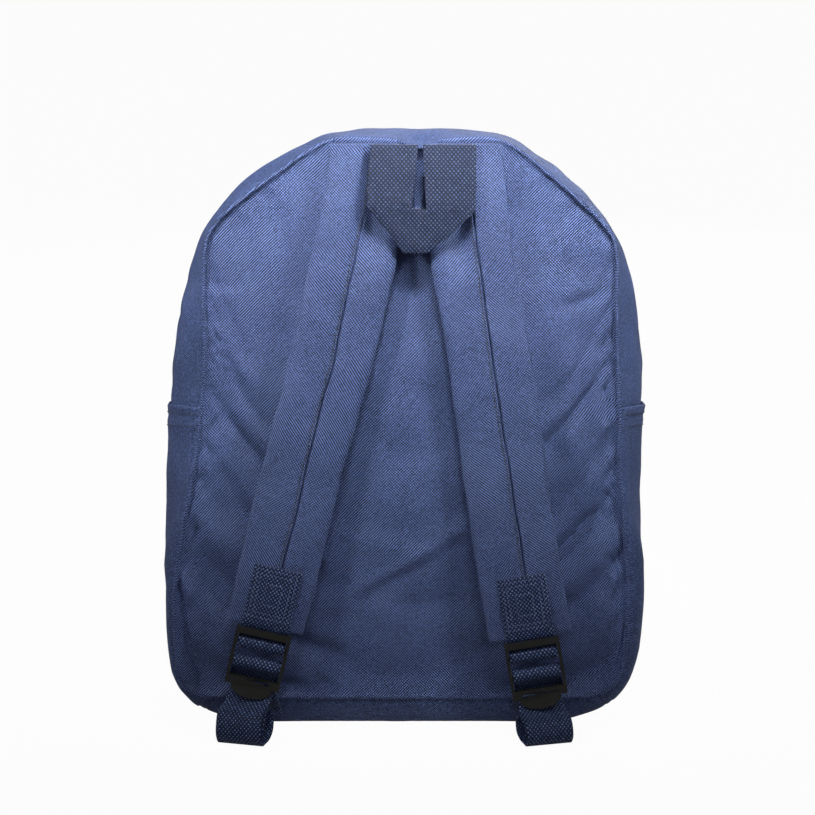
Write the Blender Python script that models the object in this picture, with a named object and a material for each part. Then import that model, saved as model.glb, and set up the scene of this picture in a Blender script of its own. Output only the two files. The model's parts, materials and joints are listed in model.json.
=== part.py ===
"""A school backpack standing on its base: strap side towards -Y, front pocket towards +Y.

Soft panels are thin shells over one body surface. Metres, +Z up, the floor at z = 0.
"""

import math

import bmesh
import bpy
import numpy as np
from mathutils import Matrix, Vector

# ---- overall form -------------------------------------------------------------------
BACK_Y = -0.058  # seam between back panel and gusset
CREST_Y = -0.028  # widest line of the gusset
ZIP_Y = 0.012  # centre line of the main zip
FRONT_Y = 0.058  # seam between gusset and front panel
ARCH_X, ARCH_Z, ARCH_R = 0.0, 0.2155, 0.1525  # the main zip is an arc about this point
LEAN = 0.035  # sideways slump of the strap side per metre of height
LEAN_Z = 0.20

FABRIC = 0.0015
LINING = 0.0010
FOAM = 0.0040
GAP = 0.0004
TAPE = 0.0008
COIL = 0.0016
WEB_W, WEB_T = 0.030, 0.0016

# half width, height: from the middle of the base round to the middle of the top
BACK_SEAM = [
    (0.0, 0.019), (0.060, 0.019), (0.107, 0.019), (0.1225, 0.0215), (0.134, 0.029),
    (0.1415, 0.048), (0.144, 0.075), (0.143, 0.105), (0.139, 0.135), (0.134, 0.170),
    (0.1315, 0.208), (0.129, 0.250), (0.127, 0.287), (0.120, 0.317), (0.102, 0.341),
    (0.080, 0.3605), (0.066, 0.3690), (0.050, 0.3745), (0.025, 0.3745), (0.0, 0.3735),
]
CREST = [
    (0.0, 0.0), (0.060, 0.0), (0.105, 0.0), (0.123, 0.0035), (0.140, 0.012),
    (0.1495, 0.030), (0.1528, 0.060), (0.1530, 0.090), (0.1522, 0.130), (0.1512, 0.170),
    (0.1508, 0.210), (0.147, 0.250), (0.141, 0.280), (0.130, 0.308), (0.112, 0.334),
    (0.0945, 0.3525), (0.078, 0.3645), (0.0585, 0.3730), (0.030, 0.3765), (0.0, 0.3775),
]
ZIP_LINE_LOW = [
    (0.0, 0.0), (0.060, 0.0), (0.105, 0.0), (0.123, 0.0035), (0.139, 0.012),
    (0.1490, 0.030), (0.1520, 0.060), (0.1525, 0.090), (0.1523, 0.130), (0.1524, 0.170),
]
FRONT_SEAM_LOW = [
    (0.0, 0.019), (0.060, 0.019), (0.107, 0.019), (0.1225, 0.0215), (0.132, 0.029),
    (0.1375, 0.048), (0.1385, 0.075), (0.1385, 0.105), (0.1380, 0.135), (0.1375, 0.170),
]
FRONT_ARCH_R = 0.137

POCKET_TOP = 0.197  # hem of the side pockets
POCKET_ROOM = 0.0022

# ---- straps, carry loop, buckles -----------------------------------------------------
STRAP_T = 0.010
STRAP_BEND_Z = 0.300
STRAPS = {  # height, x of the middle, width
    "left": [
        (0.3725, -0.0252, 0.0435), (0.350, -0.0273, 0.0455), (0.310, -0.0318, 0.0525),
        (0.260, -0.0431, 0.0535), (0.220, -0.0528, 0.0510), (0.180, -0.0635, 0.0500),
        (0.140, -0.0735, 0.0505), (0.100, -0.0826, 0.0505), (0.074, -0.0890, 0.0490),
    ],
    "right": [
        (0.3725, 0.0355, 0.0455), (0.350, 0.0361, 0.0475), (0.310, 0.0388, 0.0520),
        (0.260, 0.0477, 0.0515), (0.220, 0.0539, 0.0520), (0.180, 0.0592, 0.0520),
        (0.140, 0.0648, 0.0525), (0.100, 0.0712, 0.0530), (0.068, 0.0770, 0.0525),
    ],
}
STRAP_Y = [  # height, y of the pad centre, half thickness
    (0.3725, -0.0662, 0.0030), (0.345, -0.0705, 0.0045), (0.315, -0.0730, STRAP_T / 2),
    (0.250, -0.0745, STRAP_T / 2), (0.180, -0.0762, STRAP_T / 2), (0.118, -0.0785, STRAP_T / 2),
    (0.060, -0.0785, STRAP_T / 2),
]
LOOP_PIVOT = (0.004, -0.0605, 0.3745)
FLAP_PIVOT_Y = 0.0662
SLIDER_ANGLES = {"right": 47.0, "left": 55.5}
POCKET_SLIDER_X = 0.088

MATERIALS = {  # base colour, roughness, metallic
    "navy_cloth": ((0.055, 0.078, 0.165), 0.75, 0.0),
    "navy_webbing": ((0.028, 0.042, 0.100), 0.70, 0.0),
    "navy_lining": ((0.035, 0.050, 0.110), 0.80, 0.0),
    "foam": ((0.78, 0.78, 0.74), 0.95, 0.0),
    "dark_plastic": ((0.016, 0.016, 0.014), 0.45, 0.0),
    "zip_nylon": ((0.022, 0.032, 0.075), 0.55, 0.0),
    "zip_metal": ((0.10, 0.10, 0.11), 0.35, 1.0),
}
MATERIAL_OF = (  # the first word found in an object's name decides
    ("foam", "foam"), ("lining", "navy_lining"), ("ladder_lock", "dark_plastic"),
    ("webbing", "navy_webbing"), ("tab", "navy_webbing"), ("haul_loop", "navy_webbing"),
    ("slider", "zip_metal"), ("puller", "zip_metal"), ("zip", "zip_nylon"), ("", "navy_cloth"),
)


def clear_scene():
    for obj in list(bpy.data.objects):
        bpy.data.objects.remove(obj, do_unlink=True)
    for material in list(bpy.data.materials):
        bpy.data.materials.remove(material)


def material_for(name):
    key = next(material for word, material in MATERIAL_OF if word in name)
    if key in bpy.data.materials:
        return bpy.data.materials[key]
    colour, roughness, metallic = MATERIALS[key]
    material = bpy.data.materials.new(key)
    material.use_nodes = True
    shader = material.node_tree.nodes["Principled BSDF"]
    shader.inputs["Base Color"].default_value = (*colour, 1.0)
    shader.inputs["Roughness"].default_value = roughness
    shader.inputs["Metallic"].default_value = metallic
    material.diffuse_color = (*colour, 1.0)
    return material


def empty(name, at, parent=None):
    obj = bpy.data.objects.new(name, None)
    bpy.context.scene.collection.objects.link(obj)
    obj.matrix_world = Matrix.Translation(at)
    if parent:
        obj.parent = parent
        obj.matrix_parent_inverse = parent.matrix_basis.inverted()
    return obj


def add_mesh(name, verts, faces, parent):
    """One closed mesh with its faces turned outwards, hung on the empty of its joint."""
    mesh = bpy.data.meshes.new(name)
    mesh.from_pydata([tuple(map(float, v)) for v in verts], [], [tuple(map(int, f)) for f in faces])
    bm = bmesh.new()
    bm.from_mesh(mesh)
    bmesh.ops.remove_doubles(bm, verts=bm.verts, dist=1e-6)
    bmesh.ops.recalc_face_normals(bm, faces=bm.faces)
    bm.to_mesh(mesh)
    bm.free()
    mesh.materials.append(material_for(name))
    obj = bpy.data.objects.new(name, mesh)
    bpy.context.scene.collection.objects.link(obj)
    if parent:
        obj.parent = parent
        obj.matrix_parent_inverse = world_of(parent).inverted()
    return obj


def world_of(obj):
    bpy.context.view_layer.update()
    return obj.matrix_world.copy()


def union(name, boxes, parent):
    """Joins closed (verts, faces) shapes that overlap into one mesh, with exact Booleans applied."""
    parts = [add_mesh(f"{name}_{i}", v, f, None) for i, (v, f) in enumerate(boxes)]
    base = parts[0]
    for other in parts[1:]:
        mod = base.modifiers.new("join", "BOOLEAN")
        mod.operation = "UNION"
        mod.solver = "EXACT"
        mod.object = other
    bpy.context.view_layer.update()
    graph = bpy.context.evaluated_depsgraph_get()
    mesh = bpy.data.meshes.new_from_object(base.evaluated_get(graph))
    verts = [v.co.copy() for v in mesh.vertices]
    faces = [tuple(p.vertices) for p in mesh.polygons]
    for obj in parts:
        bpy.data.objects.remove(obj, do_unlink=True)
    return add_mesh(name, verts, faces, parent)


# ---- curves and surfaces ---------------------------------------------------------------
def smooth(points, per=6):
    """Catmull-Rom through the points of an open line."""
    p = np.array(points, float)
    p = np.vstack([2 * p[0] - p[1], p, 2 * p[-1] - p[-2]])
    out = []
    for i in range(1, len(p) - 2):
        for k in range(per):
            t = k / per
            a, b, c, d = p[i - 1], p[i], p[i + 1], p[i + 2]
            out.append(
                0.5 * (2 * b + (c - a) * t + (2 * a - 5 * b + 4 * c - d) * t * t
                       + (3 * b - a - 3 * c + d) * t ** 3)
            )
    out.append(p[-2])
    return np.array(out)


def arch(radius):
    return [
        (radius * math.cos(math.radians(a)), ARCH_Z + radius * math.sin(math.radians(a)))
        for a in range(0, 91, 6)
    ]


# How far the soft sides stand out from the even outlines, by height: the left shoulder is fuller,
# and the lower corners are drawn in.
SIDE_OUT_LEFT = [
    (0.0, -0.0125), (0.012, -0.0110), (0.022, -0.0090), (0.035, -0.0062), (0.055, -0.0050), (0.090, -0.0044),
    (0.120, -0.0018), (0.150, -0.0002), (0.200, -0.0008), (0.250, 0.0003), (0.284, 0.0012), (0.297, 0.0036),
    (0.309, 0.0060), (0.325, 0.0080), (0.345, 0.0078), (0.360, 0.0064), (0.372, 0.0040),
]
SIDE_OUT_RIGHT = [
    (0.0, -0.0070), (0.012, -0.0045), (0.022, -0.0026), (0.032, -0.0015), (0.050, 0.0006), (0.090, -0.0003),
    (0.130, -0.0016), (0.160, -0.0030), (0.250, -0.0032), (0.275, -0.0015), (0.310, 0.0), (0.340, -0.0010),
    (0.360, -0.0045), (0.375, -0.0060),
]
SEAM_OUT_LEFT = [
    (0.019, 0.0065), (0.029, 0.0050), (0.048, 0.0010), (0.150, 0.0), (0.208, -0.0020), (0.250, -0.0010),
    (0.287, 0.0025), (0.317, 0.0075), (0.330, 0.0075), (0.345, 0.0030), (0.360, 0.0),
]
SEAM_OUT_RIGHT = [
    (0.019, 0.0060), (0.030, 0.0060), (0.056, 0.0025), (0.080, 0.0010), (0.111, 0.0), (0.2015, 0.0015),
    (0.250, 0.0), (0.277, -0.0010), (0.3165, 0.0027), (0.330, 0.0), (0.342, -0.0030), (0.361, -0.0060),
]


def low_only(table):
    """The same table faded out above the base, where the outline follows the zip."""
    return [(z, out * max(0.0, 1 - z / 0.10)) for z, out in table]


def radial(half_line, lean, middle=0.0, level=LEAN_Z, lean_to=1.0, out=(None, None)):
    """A half outline, made whole and leaned, as radius against angle about the arch centre."""
    half = smooth(half_line)
    half = half[half[:, 0] > 1e-6]
    sides = []
    for way, table in zip((1, -1), out):
        moved_out = np.interp(half[:, 1], *np.array(table).T) if table else 0.0
        wide = np.clip(half[:, 0] / 0.10, 0, 1)
        sides.append(np.column_stack([way * (half[:, 0] + moved_out * wide), half[:, 1]]))
    loop = np.vstack(sides)
    x = loop[:, 0] + middle + lean * (np.minimum(loop[:, 1], lean_to) - level) - ARCH_X
    z = loop[:, 1] - ARCH_Z
    angle = np.degrees(np.arctan2(z, x))
    order = np.argsort(angle)
    return angle[order], np.hypot(x, z)[order]


OUTLINES = {
    "back": radial(BACK_SEAM, LEAN, out=(SEAM_OUT_RIGHT, SEAM_OUT_LEFT)),
    "crest": radial(CREST, LEAN, out=(SIDE_OUT_RIGHT, SIDE_OUT_LEFT)),
    "zip": radial(ZIP_LINE_LOW + arch(ARCH_R), 0.05, ARCH_X, ARCH_Z, ARCH_Z,
                  (low_only(SIDE_OUT_RIGHT), low_only(SIDE_OUT_LEFT))),
    "front": radial(FRONT_SEAM_LOW + arch(FRONT_ARCH_R), 0.05, ARCH_X, ARCH_Z, ARCH_Z),
}


def reach(which, angle):
    return float(np.interp((angle + 180) % 360 - 180, *OUTLINES[which], period=360))


def fullness(angle, k):
    """Makes the base flat right out to near its seams, and leaves the sides and top round."""
    turn = abs((angle + 90 + 180) % 360 - 180)
    base = min(1.0, max(0.0, (62.0 - turn) / 8.0))
    return k + (min(1.0, 1.04 * (1 - (1 - k) ** 4)) - k) * base


def body_radius(angle, y):
    """Distance of the bag's outside from the arch centre line, at one angle and depth."""
    if y < CREST_Y:
        k = fullness(angle, math.sin((y - BACK_Y) / (CREST_Y - BACK_Y) * math.pi / 2))
        near, far = reach("back", angle), reach("crest", angle)
        return near + (far - near) * k
    if y < ZIP_Y:
        k = 0.5 - 0.5 * math.cos((y - CREST_Y) / (ZIP_Y - CREST_Y) * math.pi)
        near, far = reach("crest", angle), reach("zip", angle)
        return near + (far - near) * k
    k = fullness(angle, math.cos((y - ZIP_Y) / (FRONT_Y - ZIP_Y) * math.pi / 2))
    near, far = reach("front", angle), reach("zip", angle)
    return near + (far - near) * k


def at(angle, radius, y):
    a = math.radians(angle)
    return np.array([ARCH_X + radius * math.cos(a), y, ARCH_Z + radius * math.sin(a)])


def pocket_room(angle, y):
    """How far the side gusset stands in behind the side pocket, so that the pocket has room."""
    z = at(angle, body_radius(angle, y), y)[2]
    low = min(1.0, max(0.0, (z - 0.030) / 0.035))
    high = min(1.0, max(0.0, (POCKET_TOP + 0.018 - z) / 0.020))
    side = math.cos(min(1.0, abs(y) / 0.050) * math.pi / 2) ** 0.6 if abs(y) < 0.050 else 0.0
    return POCKET_ROOM * low * high * side


def body_point(angle, y, inset=0.0):
    point = at(angle, body_radius(angle, y) - inset, y)
    point[2] = max(point[2], 0.0)
    return point


def grid_of(angles, ys, surface, offset):
    """Points of a surface(angle, y) moved out along its normal."""
    rows = []
    for a in angles:
        row = []
        for y in ys:
            da = surface(a + 0.4, y) - surface(a - 0.4, y)
            dy = surface(a, min(y + 0.001, FRONT_Y)) - surface(a, max(y - 0.001, BACK_Y))
            n = np.cross(dy, da)
            n /= np.linalg.norm(n)
            centre = np.array([ARCH_X, y, ARCH_Z])
            if np.dot(n, surface(a, y) - centre) < 0:
                n = -n
            row.append(surface(a, y) + n * offset)
        rows.append(row)
    return np.array(rows)


def shell(name, outer, inner, parent, around=False):
    """A closed shell between two matching grids of points."""
    nu, nv = outer.shape[:2]
    verts = list(outer.reshape(-1, 3)) + list(inner.reshape(-1, 3))
    base = nu * nv

    def a(i, j):
        return (i % nu) * nv + j

    def b(i, j):
        return base + a(i, j)

    faces = []
    last = nu if around else nu - 1
    for i in range(last):
        for j in range(nv - 1):
            faces.append((a(i, j), a(i + 1, j), a(i + 1, j + 1), a(i, j + 1)))
            faces.append((b(i, j), b(i, j + 1), b(i + 1, j + 1), b(i + 1, j)))
    for i in range(last):
        for j in (0, nv - 1):
            faces.append((a(i, j), a(i + 1, j), b(i + 1, j), b(i, j)))
    if not around:
        for i in (0, nu - 1):
            for j in range(nv - 1):
                faces.append((a(i, j), a(i, j + 1), b(i, j + 1), b(i, j)))
    return add_mesh(name, verts, faces, parent)


def skin(name, angles, ys, parent, surface=body_point, out=0.0, thick=FABRIC):
    outer = grid_of(angles, ys, surface, out)
    inner = grid_of(angles, ys, surface, out - thick)
    return shell(name, outer, inner, parent)


def spread(a0, a1, count):
    """Angles from a0 to a1 at even steps along the crest outline."""
    fine = np.linspace(a0, a1, 400)
    points = np.array([at(a, reach("crest", a), 0) for a in fine])
    length = np.concatenate([[0], np.cumsum(np.linalg.norm(np.diff(points, axis=0), axis=1))])
    return np.interp(np.linspace(0, length[-1], count), length, fine)


def plate(name, outline, top, thick, parent, rings=(1.0, 0.8, 0.5, 0.2), centre=None):
    """A panel in x and z inside a star-shaped outline; top(x, z) gives y, the body lies at y + thick."""
    ring = np.array(outline)
    centre = np.array(centre) if centre is not None else ring.mean(axis=0)
    verts, faces = [], []
    n = len(ring)
    for extra in (0.0, thick):
        for k in rings:
            for p in ring:
                x, z = centre + (p - centre) * k
                verts.append((x, top(x, z) + extra, z))
        verts.append((centre[0], top(*centre) + extra, centre[1]))
    side = n * len(rings) + 1
    for s in (0, side):
        for r in range(len(rings) - 1):
            for i in range(n):
                j = (i + 1) % n
                faces.append((s + r * n + i, s + r * n + j, s + (r + 1) * n + j, s + (r + 1) * n + i))
        inner = s + (len(rings) - 1) * n
        for i in range(n):
            faces.append((inner + i, inner + (i + 1) % n, s + side - 1))
    for i in range(n):
        j = (i + 1) % n
        faces.append((i, j, side + j, side + i))
    return add_mesh(name, verts, faces, parent)


def ribbon(name, line, sideways, width, thick, parent):
    """Flat webbing along a line of points; sideways is its width direction, one or one per point."""
    line = np.array(line, float)
    n = len(line)
    sides = np.array(sideways, float)
    if sides.ndim == 1:
        sides = np.tile(sides, (n, 1))
    along = np.gradient(line, axis=0)
    up = np.cross(sides, along)
    up /= np.linalg.norm(up, axis=1)[:, None]
    half = sides * width / 2
    outer = np.stack([line - half + up * thick / 2, line + half + up * thick / 2], axis=1)
    inner = np.stack([line - half - up * thick / 2, line + half - up * thick / 2], axis=1)
    return shell(name, outer, inner, parent)


def box(x0, x1, y0, y1, z0, z1):
    verts = [(x, y, z) for x in (x0, x1) for y in (y0, y1) for z in (z0, z1)]
    faces = [(0, 1, 3, 2), (4, 6, 7, 5), (0, 4, 5, 1), (2, 3, 7, 6), (0, 2, 6, 4), (1, 5, 7, 3)]
    return verts, faces


def moved(shape, matrix):
    verts, faces = shape
    return [tuple(matrix @ Vector(v)) for v in verts], faces


def rod(radius, x0, x1, y, z, sides=8):
    """A round bar along X."""
    verts = []
    for x in (x0, x1):
        for k in range(sides):
            a = 2 * math.pi * (k + 0.5) / sides
            verts.append((x, y + radius * math.cos(a), z + radius * math.sin(a)))
    faces = [tuple(range(sides)), tuple(range(sides, 2 * sides))]
    for k in range(sides):
        j = (k + 1) % sides
        faces.append((k, j, sides + j, sides + k))
    return verts, faces


# ---- the bag's shell -------------------------------------------------------------------
def back_dome(x, z, inset=0.0):
    rho = math.hypot(x - ARCH_X, z - ARCH_Z)
    angle = math.degrees(math.atan2(z - ARCH_Z, x - ARCH_X))
    k = min(1.0, rho / reach("back", angle))
    return BACK_Y - FABRIC - 0.0055 * (1 - k ** 3) + inset


def front_dome(x, z, inset=0.0):
    rho = math.hypot(x - ARCH_X, z - ARCH_Z)
    angle = math.degrees(math.atan2(z - ARCH_Z, x - ARCH_X))
    k = min(1.0, rho / reach("front", angle))
    return FRONT_Y + GAP + 0.0045 * (1 - k ** 2) + inset


def outline_of(which, angles, inset):
    points = []
    for a in angles:
        p = at(a, reach(which, a) - inset, 0)
        points.append((p[0], p[2]))
    return points


def back_panel_pieces(bag):
    ring = spread(-90, 270, 49)[:-1]
    plate("back_panel", outline_of("back", ring, 0.0002), back_dome, FABRIC, bag)
    foam_front = FABRIC + GAP
    plate("back_foam", outline_of("back", ring, 0.009),
          lambda x, z: back_dome(x, z, foam_front), FOAM, bag, rings=(1.0, 0.6))
    lining_front = foam_front + FOAM + GAP
    plate("back_lining", outline_of("back", ring, 0.0045),
          lambda x, z: back_dome(x, z, lining_front), LINING, bag, rings=(1.0, 0.6))


def gusset_pieces(bag, flap):
    full = np.array([-0.0574, -0.0545, -0.0500, -0.0450, -0.036, -0.022, -0.004, 0.016, 0.034,
                     0.044, 0.0505, 0.0550, 0.0576])
    joint, corner = 0.3, 58.0

    def behind_pocket(angle, y):
        return body_point(angle, y, pocket_room(angle, y))

    hem = math.degrees(math.atan2(POCKET_TOP - ARCH_Z, 0.152))
    low = spread(-corner + 0.1, hem, 15)
    side_angles = list(low) + list(spread(hem, -joint, 4)[1:])
    for side, turn in {"right": lambda a: a, "left": lambda a: 180 - a}.items():
        skin(f"side_gusset_{side}", [turn(a) for a in side_angles], full, bag, behind_pocket)
        skin(f"side_pocket_{side}", [turn(a) for a in low[1:]], full, bag,
             out=FABRIC + GAP, thick=FABRIC)
    skin("base_panel", spread(-180 + corner + 0.1, -corner - 0.1, 17), full, bag)
    rear = np.array([BACK_Y + 0.0006, -0.052, -0.045, -0.036, -0.028, -0.018, -0.006, ZIP_Y - 0.0072])
    fore = np.array([ZIP_Y + 0.0072, 0.027, 0.036, 0.045, 0.052, FRONT_Y - 0.0004])
    top = spread(joint, 180 - joint, 33)
    skin("top_gusset_rear", top, rear, bag)
    skin("top_gusset_front", top, fore, flap)
    under = -(FABRIC + GAP)
    arc = np.linspace(1.2, 178.8, 37)
    coil_half = 0.0019
    skin("main_zip_tape_rear", arc, np.linspace(ZIP_Y - 0.013, ZIP_Y - coil_half - 0.0003, 3),
         bag, out=under - 0.0004, thick=TAPE)
    skin("main_zip_tape_front", arc, np.linspace(ZIP_Y + coil_half + 0.0003, ZIP_Y + 0.013, 3),
         flap, out=under - 0.0004, thick=TAPE)
    skin("main_zip_coil_rear", arc, [ZIP_Y - coil_half, ZIP_Y - 0.0002], bag, out=under + 0.0006,
         thick=COIL)
    skin("main_zip_coil_front", arc, [ZIP_Y + 0.0002, ZIP_Y + coil_half], flap, out=under + 0.0006,
         thick=COIL)


def front_panel_pieces(bag, flap):
    joint = 0.3
    low = list(spread(180 + joint, 360 - joint, 27))
    high = list(spread(joint, 180 - joint, 23))
    rings = (1.0, 0.75, 0.4)
    for name, angles, body, lift in (
        ("front_panel_lower", low, bag, -1), ("front_panel_upper", high, flap, 1)
    ):
        points = outline_of("front", angles, 0.0002)
        across = points[-1][0], points[0][0]
        level = ARCH_Z + lift * 0.0006
        for k in np.linspace(0, 1, 8)[1:-1]:
            points.append((across[0] + (across[1] - across[0]) * k, level))
        centre = (ARCH_X, ARCH_Z + lift * 0.075)
        plate(name, points, front_dome, FABRIC, body, rings=rings, centre=centre)


# ---- front pocket ----------------------------------------------------------------------
FP_HALF, FP_LOW, FP_TOP = 0.112, 0.030, 0.196
FP_FACE = 0.088
FP_ZIP_Z = 0.178


def pocket_outline(inset, low=FP_LOW, top=FP_TOP, r_low=0.034, r_top=0.014):
    points = []
    half = FP_HALF - inset
    for cx, cz, r, a0 in (
        (half - r_low, low + inset + r_low, r_low, -90), (half - r_top, top - inset - r_top, r_top, 0),
        (-half + r_top, top - inset - r_top, r_top, 90), (-half + r_low, low + inset + r_low, r_low, 180),
    ):
        for k in range(5):
            a = math.radians(a0 + 22.5 * k)
            points.append((ARCH_X + cx + r * math.cos(a), cz + r * math.sin(a)))
    return divided(points, 0.030)


def divided(points, longest):
    """The closed line with its long sides cut into shorter ones."""
    out = []
    for p, q in zip(points, points[1:] + points[:1]):
        count = max(1, math.ceil(math.dist(p, q) / longest))
        for k in range(count):
            out.append((p[0] + (q[0] - p[0]) * k / count, p[1] + (q[1] - p[1]) * k / count))
    return out


def front_pocket_pieces(bag):
    outer, inner = pocket_outline(0.0), pocket_outline(FABRIC)
    ring_out, ring_in = [], []
    for (x, z), (xi, zi) in zip(outer, inner):
        y0 = max(front_dome(xi, zi), front_dome(x, z)) + FABRIC + 2 * GAP
        ys = np.linspace(y0, FP_FACE - GAP, 3)
        ring_out.append([(x, y, z) for y in ys])
        ring_in.append([(xi, y, zi) for y in ys])
    shell("front_pocket_gusset", np.array(ring_out), np.array(ring_in), bag, around=True)

    def face(x, z):
        k = max(0.0, 1 - ((z - 0.100) / 0.065) ** 2) * max(0.0, 1 - ((x - ARCH_X) / FP_HALF) ** 2)
        return FP_FACE + 0.0035 * k

    ring = pocket_outline(0.0002)
    edge = FP_ZIP_Z - 0.0045
    start = next(i for i, p in enumerate(ring) if p[1] > edge)
    ring = ring[start:] + ring[:start]
    high = [p for p in ring if p[1] > FP_ZIP_Z + 0.0050]
    low_line = [p for p in ring if p[1] < edge - 0.002]
    top_line = [(ARCH_X + FP_HALF * k, edge) for k in (0.998, 0.6, 0.2, -0.2, -0.6, -0.998)]
    plate("front_pocket_panel", low_line + top_line, face, FABRIC, bag,
          rings=(1.0, 0.7, 0.35), centre=(ARCH_X, 0.100))
    strip = [(ARCH_X + FP_HALF - 0.0002, FP_ZIP_Z + 0.0045)] + high
    strip.append((ARCH_X - FP_HALF + 0.0002, FP_ZIP_Z + 0.0045))
    plate_flat("front_pocket_strip", strip, FP_FACE, FP_FACE + FABRIC, bag)
    half = FP_HALF - 0.006
    y0 = FP_FACE - GAP - TAPE
    for name, z0, z1 in (
        ("pocket_zip_tape_lower", FP_ZIP_Z - 0.0095, FP_ZIP_Z - 0.0019),
        ("pocket_zip_tape_upper", FP_ZIP_Z + 0.0019, FP_ZIP_Z + 0.0095),
    ):
        add_mesh(name, *box(ARCH_X - half, ARCH_X + half, y0, y0 + TAPE, z0, z1), bag)
    add_mesh("pocket_zip_coil", *box(ARCH_X - half, ARCH_X + half, y0, y0 + COIL,
                                     FP_ZIP_Z - 0.0015, FP_ZIP_Z + 0.0015), bag)


def plate_flat(name, outline, y0, y1, parent):
    n = len(outline)
    verts = [(x, y0, z) for x, z in outline] + [(x, y1, z) for x, z in outline]
    faces = [tuple(range(n)), tuple(range(n, 2 * n))]
    faces += [(i, (i + 1) % n, n + (i + 1) % n, n + i) for i in range(n)]
    return add_mesh(name, verts, faces, parent)


# ---- zip sliders -----------------------------------------------------------------------
def slider_shapes(matrix):
    """Slider body with its bridge. Local X runs along the zip, Y across it and Z out of the bag."""
    plate_z = 0.0011
    parts = [
        box(-0.0050, 0.0050, -0.0034, 0.0034, plate_z, plate_z + 0.0013),
        box(-0.0044, -0.0032, -0.0010, 0.0010, plate_z + 0.0005, plate_z + 0.0046),
        box(0.0032, 0.0044, -0.0010, 0.0010, plate_z + 0.0005, plate_z + 0.0046),
        box(-0.0044, 0.0044, -0.0010, 0.0010, plate_z + 0.0036, plate_z + 0.0050),
    ]
    return [moved(p, matrix) for p in parts]


PULL_LIFT = 0.0011 + 0.0013 + 0.0011  # height of the puller's pin above the zip line


def puller_mesh(name, matrix, parent, length=0.026):
    """A flat pull with an eye that turns under the slider's bridge. Its pin is on local Y."""
    eye_in, eye_out = 0.0008, 0.0072
    half, slot, t = 0.0036, 0.0016, 0.0007
    outer = [(-0.0008, -0.0026), (0.009, -0.0028), (length - 0.002, -half), (length, -half * 0.6),
             (length, half * 0.6), (length - 0.002, half), (0.009, 0.0028), (-0.0008, 0.0026)]
    inner = [(eye_in, -slot), (0.0035, -slot), (0.0058, -slot), (eye_out, -slot * 0.6),
             (eye_out, slot * 0.6), (0.0058, slot), (0.0035, slot), (eye_in, slot)]
    outer_xy, inner_xy = np.array(outer), np.array(inner)
    verts = []
    for z in (-t, t):
        verts += [(x, y, z) for x, y in outer_xy]
        verts += [(x, y, z) for x, y in inner_xy]
    n = len(outer)
    faces = []
    for i in range(n):
        j = (i + 1) % n
        faces.append((i, j, n + j, n + i))
        faces.append((2 * n + i, 3 * n + i, 3 * n + j, 2 * n + j))
        faces.append((i, 2 * n + i, 2 * n + j, j))
        faces.append((n + i, n + j, 3 * n + j, 3 * n + i))
    verts = [tuple(matrix @ Vector(v)) for v in verts]
    return add_mesh(name, verts, faces, parent)


def frame_matrix(origin, x_axis, y_axis, z_axis):
    m = Matrix.Identity(4)
    for column, axis in enumerate((x_axis, y_axis, z_axis)):
        for row in range(3):
            m[row][column] = axis[row]
    for row in range(3):
        m[row][3] = origin[row]
    return m


def slider_frame(side):
    """At the slider's place on the arc; local X points along the zip towards its own end."""
    a = math.radians(SLIDER_ANGLES[side])
    out = Vector((math.cos(a), 0, math.sin(a)))
    along = Vector((math.sin(a), 0, -math.cos(a)))
    if side == "left":
        along = -along
    place = Vector((ARCH_X, ZIP_Y, ARCH_Z)) + out * (ARCH_R - FABRIC - GAP + 0.0006)
    across = out.cross(along)
    return frame_matrix(place, along, across, out)


def main_sliders(flap):
    for side in ("right", "left"):
        m = slider_frame(side)
        hub = empty(f"main_slider_{side}_joint", (ARCH_X, ZIP_Y, ARCH_Z), flap)
        union(f"main_slider_{side}", slider_shapes(m), hub)
        pin = m @ Vector((0, 0, PULL_LIFT))
        pull = empty(f"main_puller_{side}_joint", pin, hub)
        puller_mesh(f"main_puller_{side}", m @ Matrix.Translation((0, 0, PULL_LIFT)), pull)


def pocket_slider(bag):
    origin = (ARCH_X + POCKET_SLIDER_X, FP_FACE - GAP - TAPE + COIL, FP_ZIP_Z)
    m = frame_matrix(origin, (-1, 0, 0), (0, 0, 1), (0, 1, 0))
    rail = empty("pocket_slider_joint", origin, bag)
    union("pocket_slider", slider_shapes(m), rail)
    pin = m @ Vector((0, 0, PULL_LIFT))
    pull = empty("pocket_puller_joint", pin, rail)
    down = frame_matrix(pin, (-1, 0, 0), (0, 0, 1), (0, 1, 0))
    puller_mesh("pocket_puller", down, pull)


# ---- shoulder straps -------------------------------------------------------------------
def strap_point(side, z):
    """Middle of the pad at a height, its half thickness and its half width."""
    rows = STRAPS[side][::-1]
    x = np.interp(z, [r[0] for r in rows], [r[1] for r in rows])
    width = np.interp(z, [r[0] for r in rows], [r[2] for r in rows])
    rows = STRAP_Y[::-1]
    y = np.interp(z, [r[0] for r in rows], [r[1] for r in rows])
    half = np.interp(z, [r[0] for r in rows], [r[2] for r in rows])
    return np.array([x, y, z]), half, width / 2


def strap_end(side):
    return STRAPS[side][-1][0]


def strap_axes(side):
    """Down the lower end of the strap, across it, and outwards."""
    (z0, x0, _), (z1, x1, _) = STRAPS[side][-3], STRAPS[side][-1]
    down = np.array([x1 - x0, 0, z1 - z0])
    down /= np.linalg.norm(down)
    return down, np.array([-down[2], 0, down[0]]), np.array([0, -1.0, 0])


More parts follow.
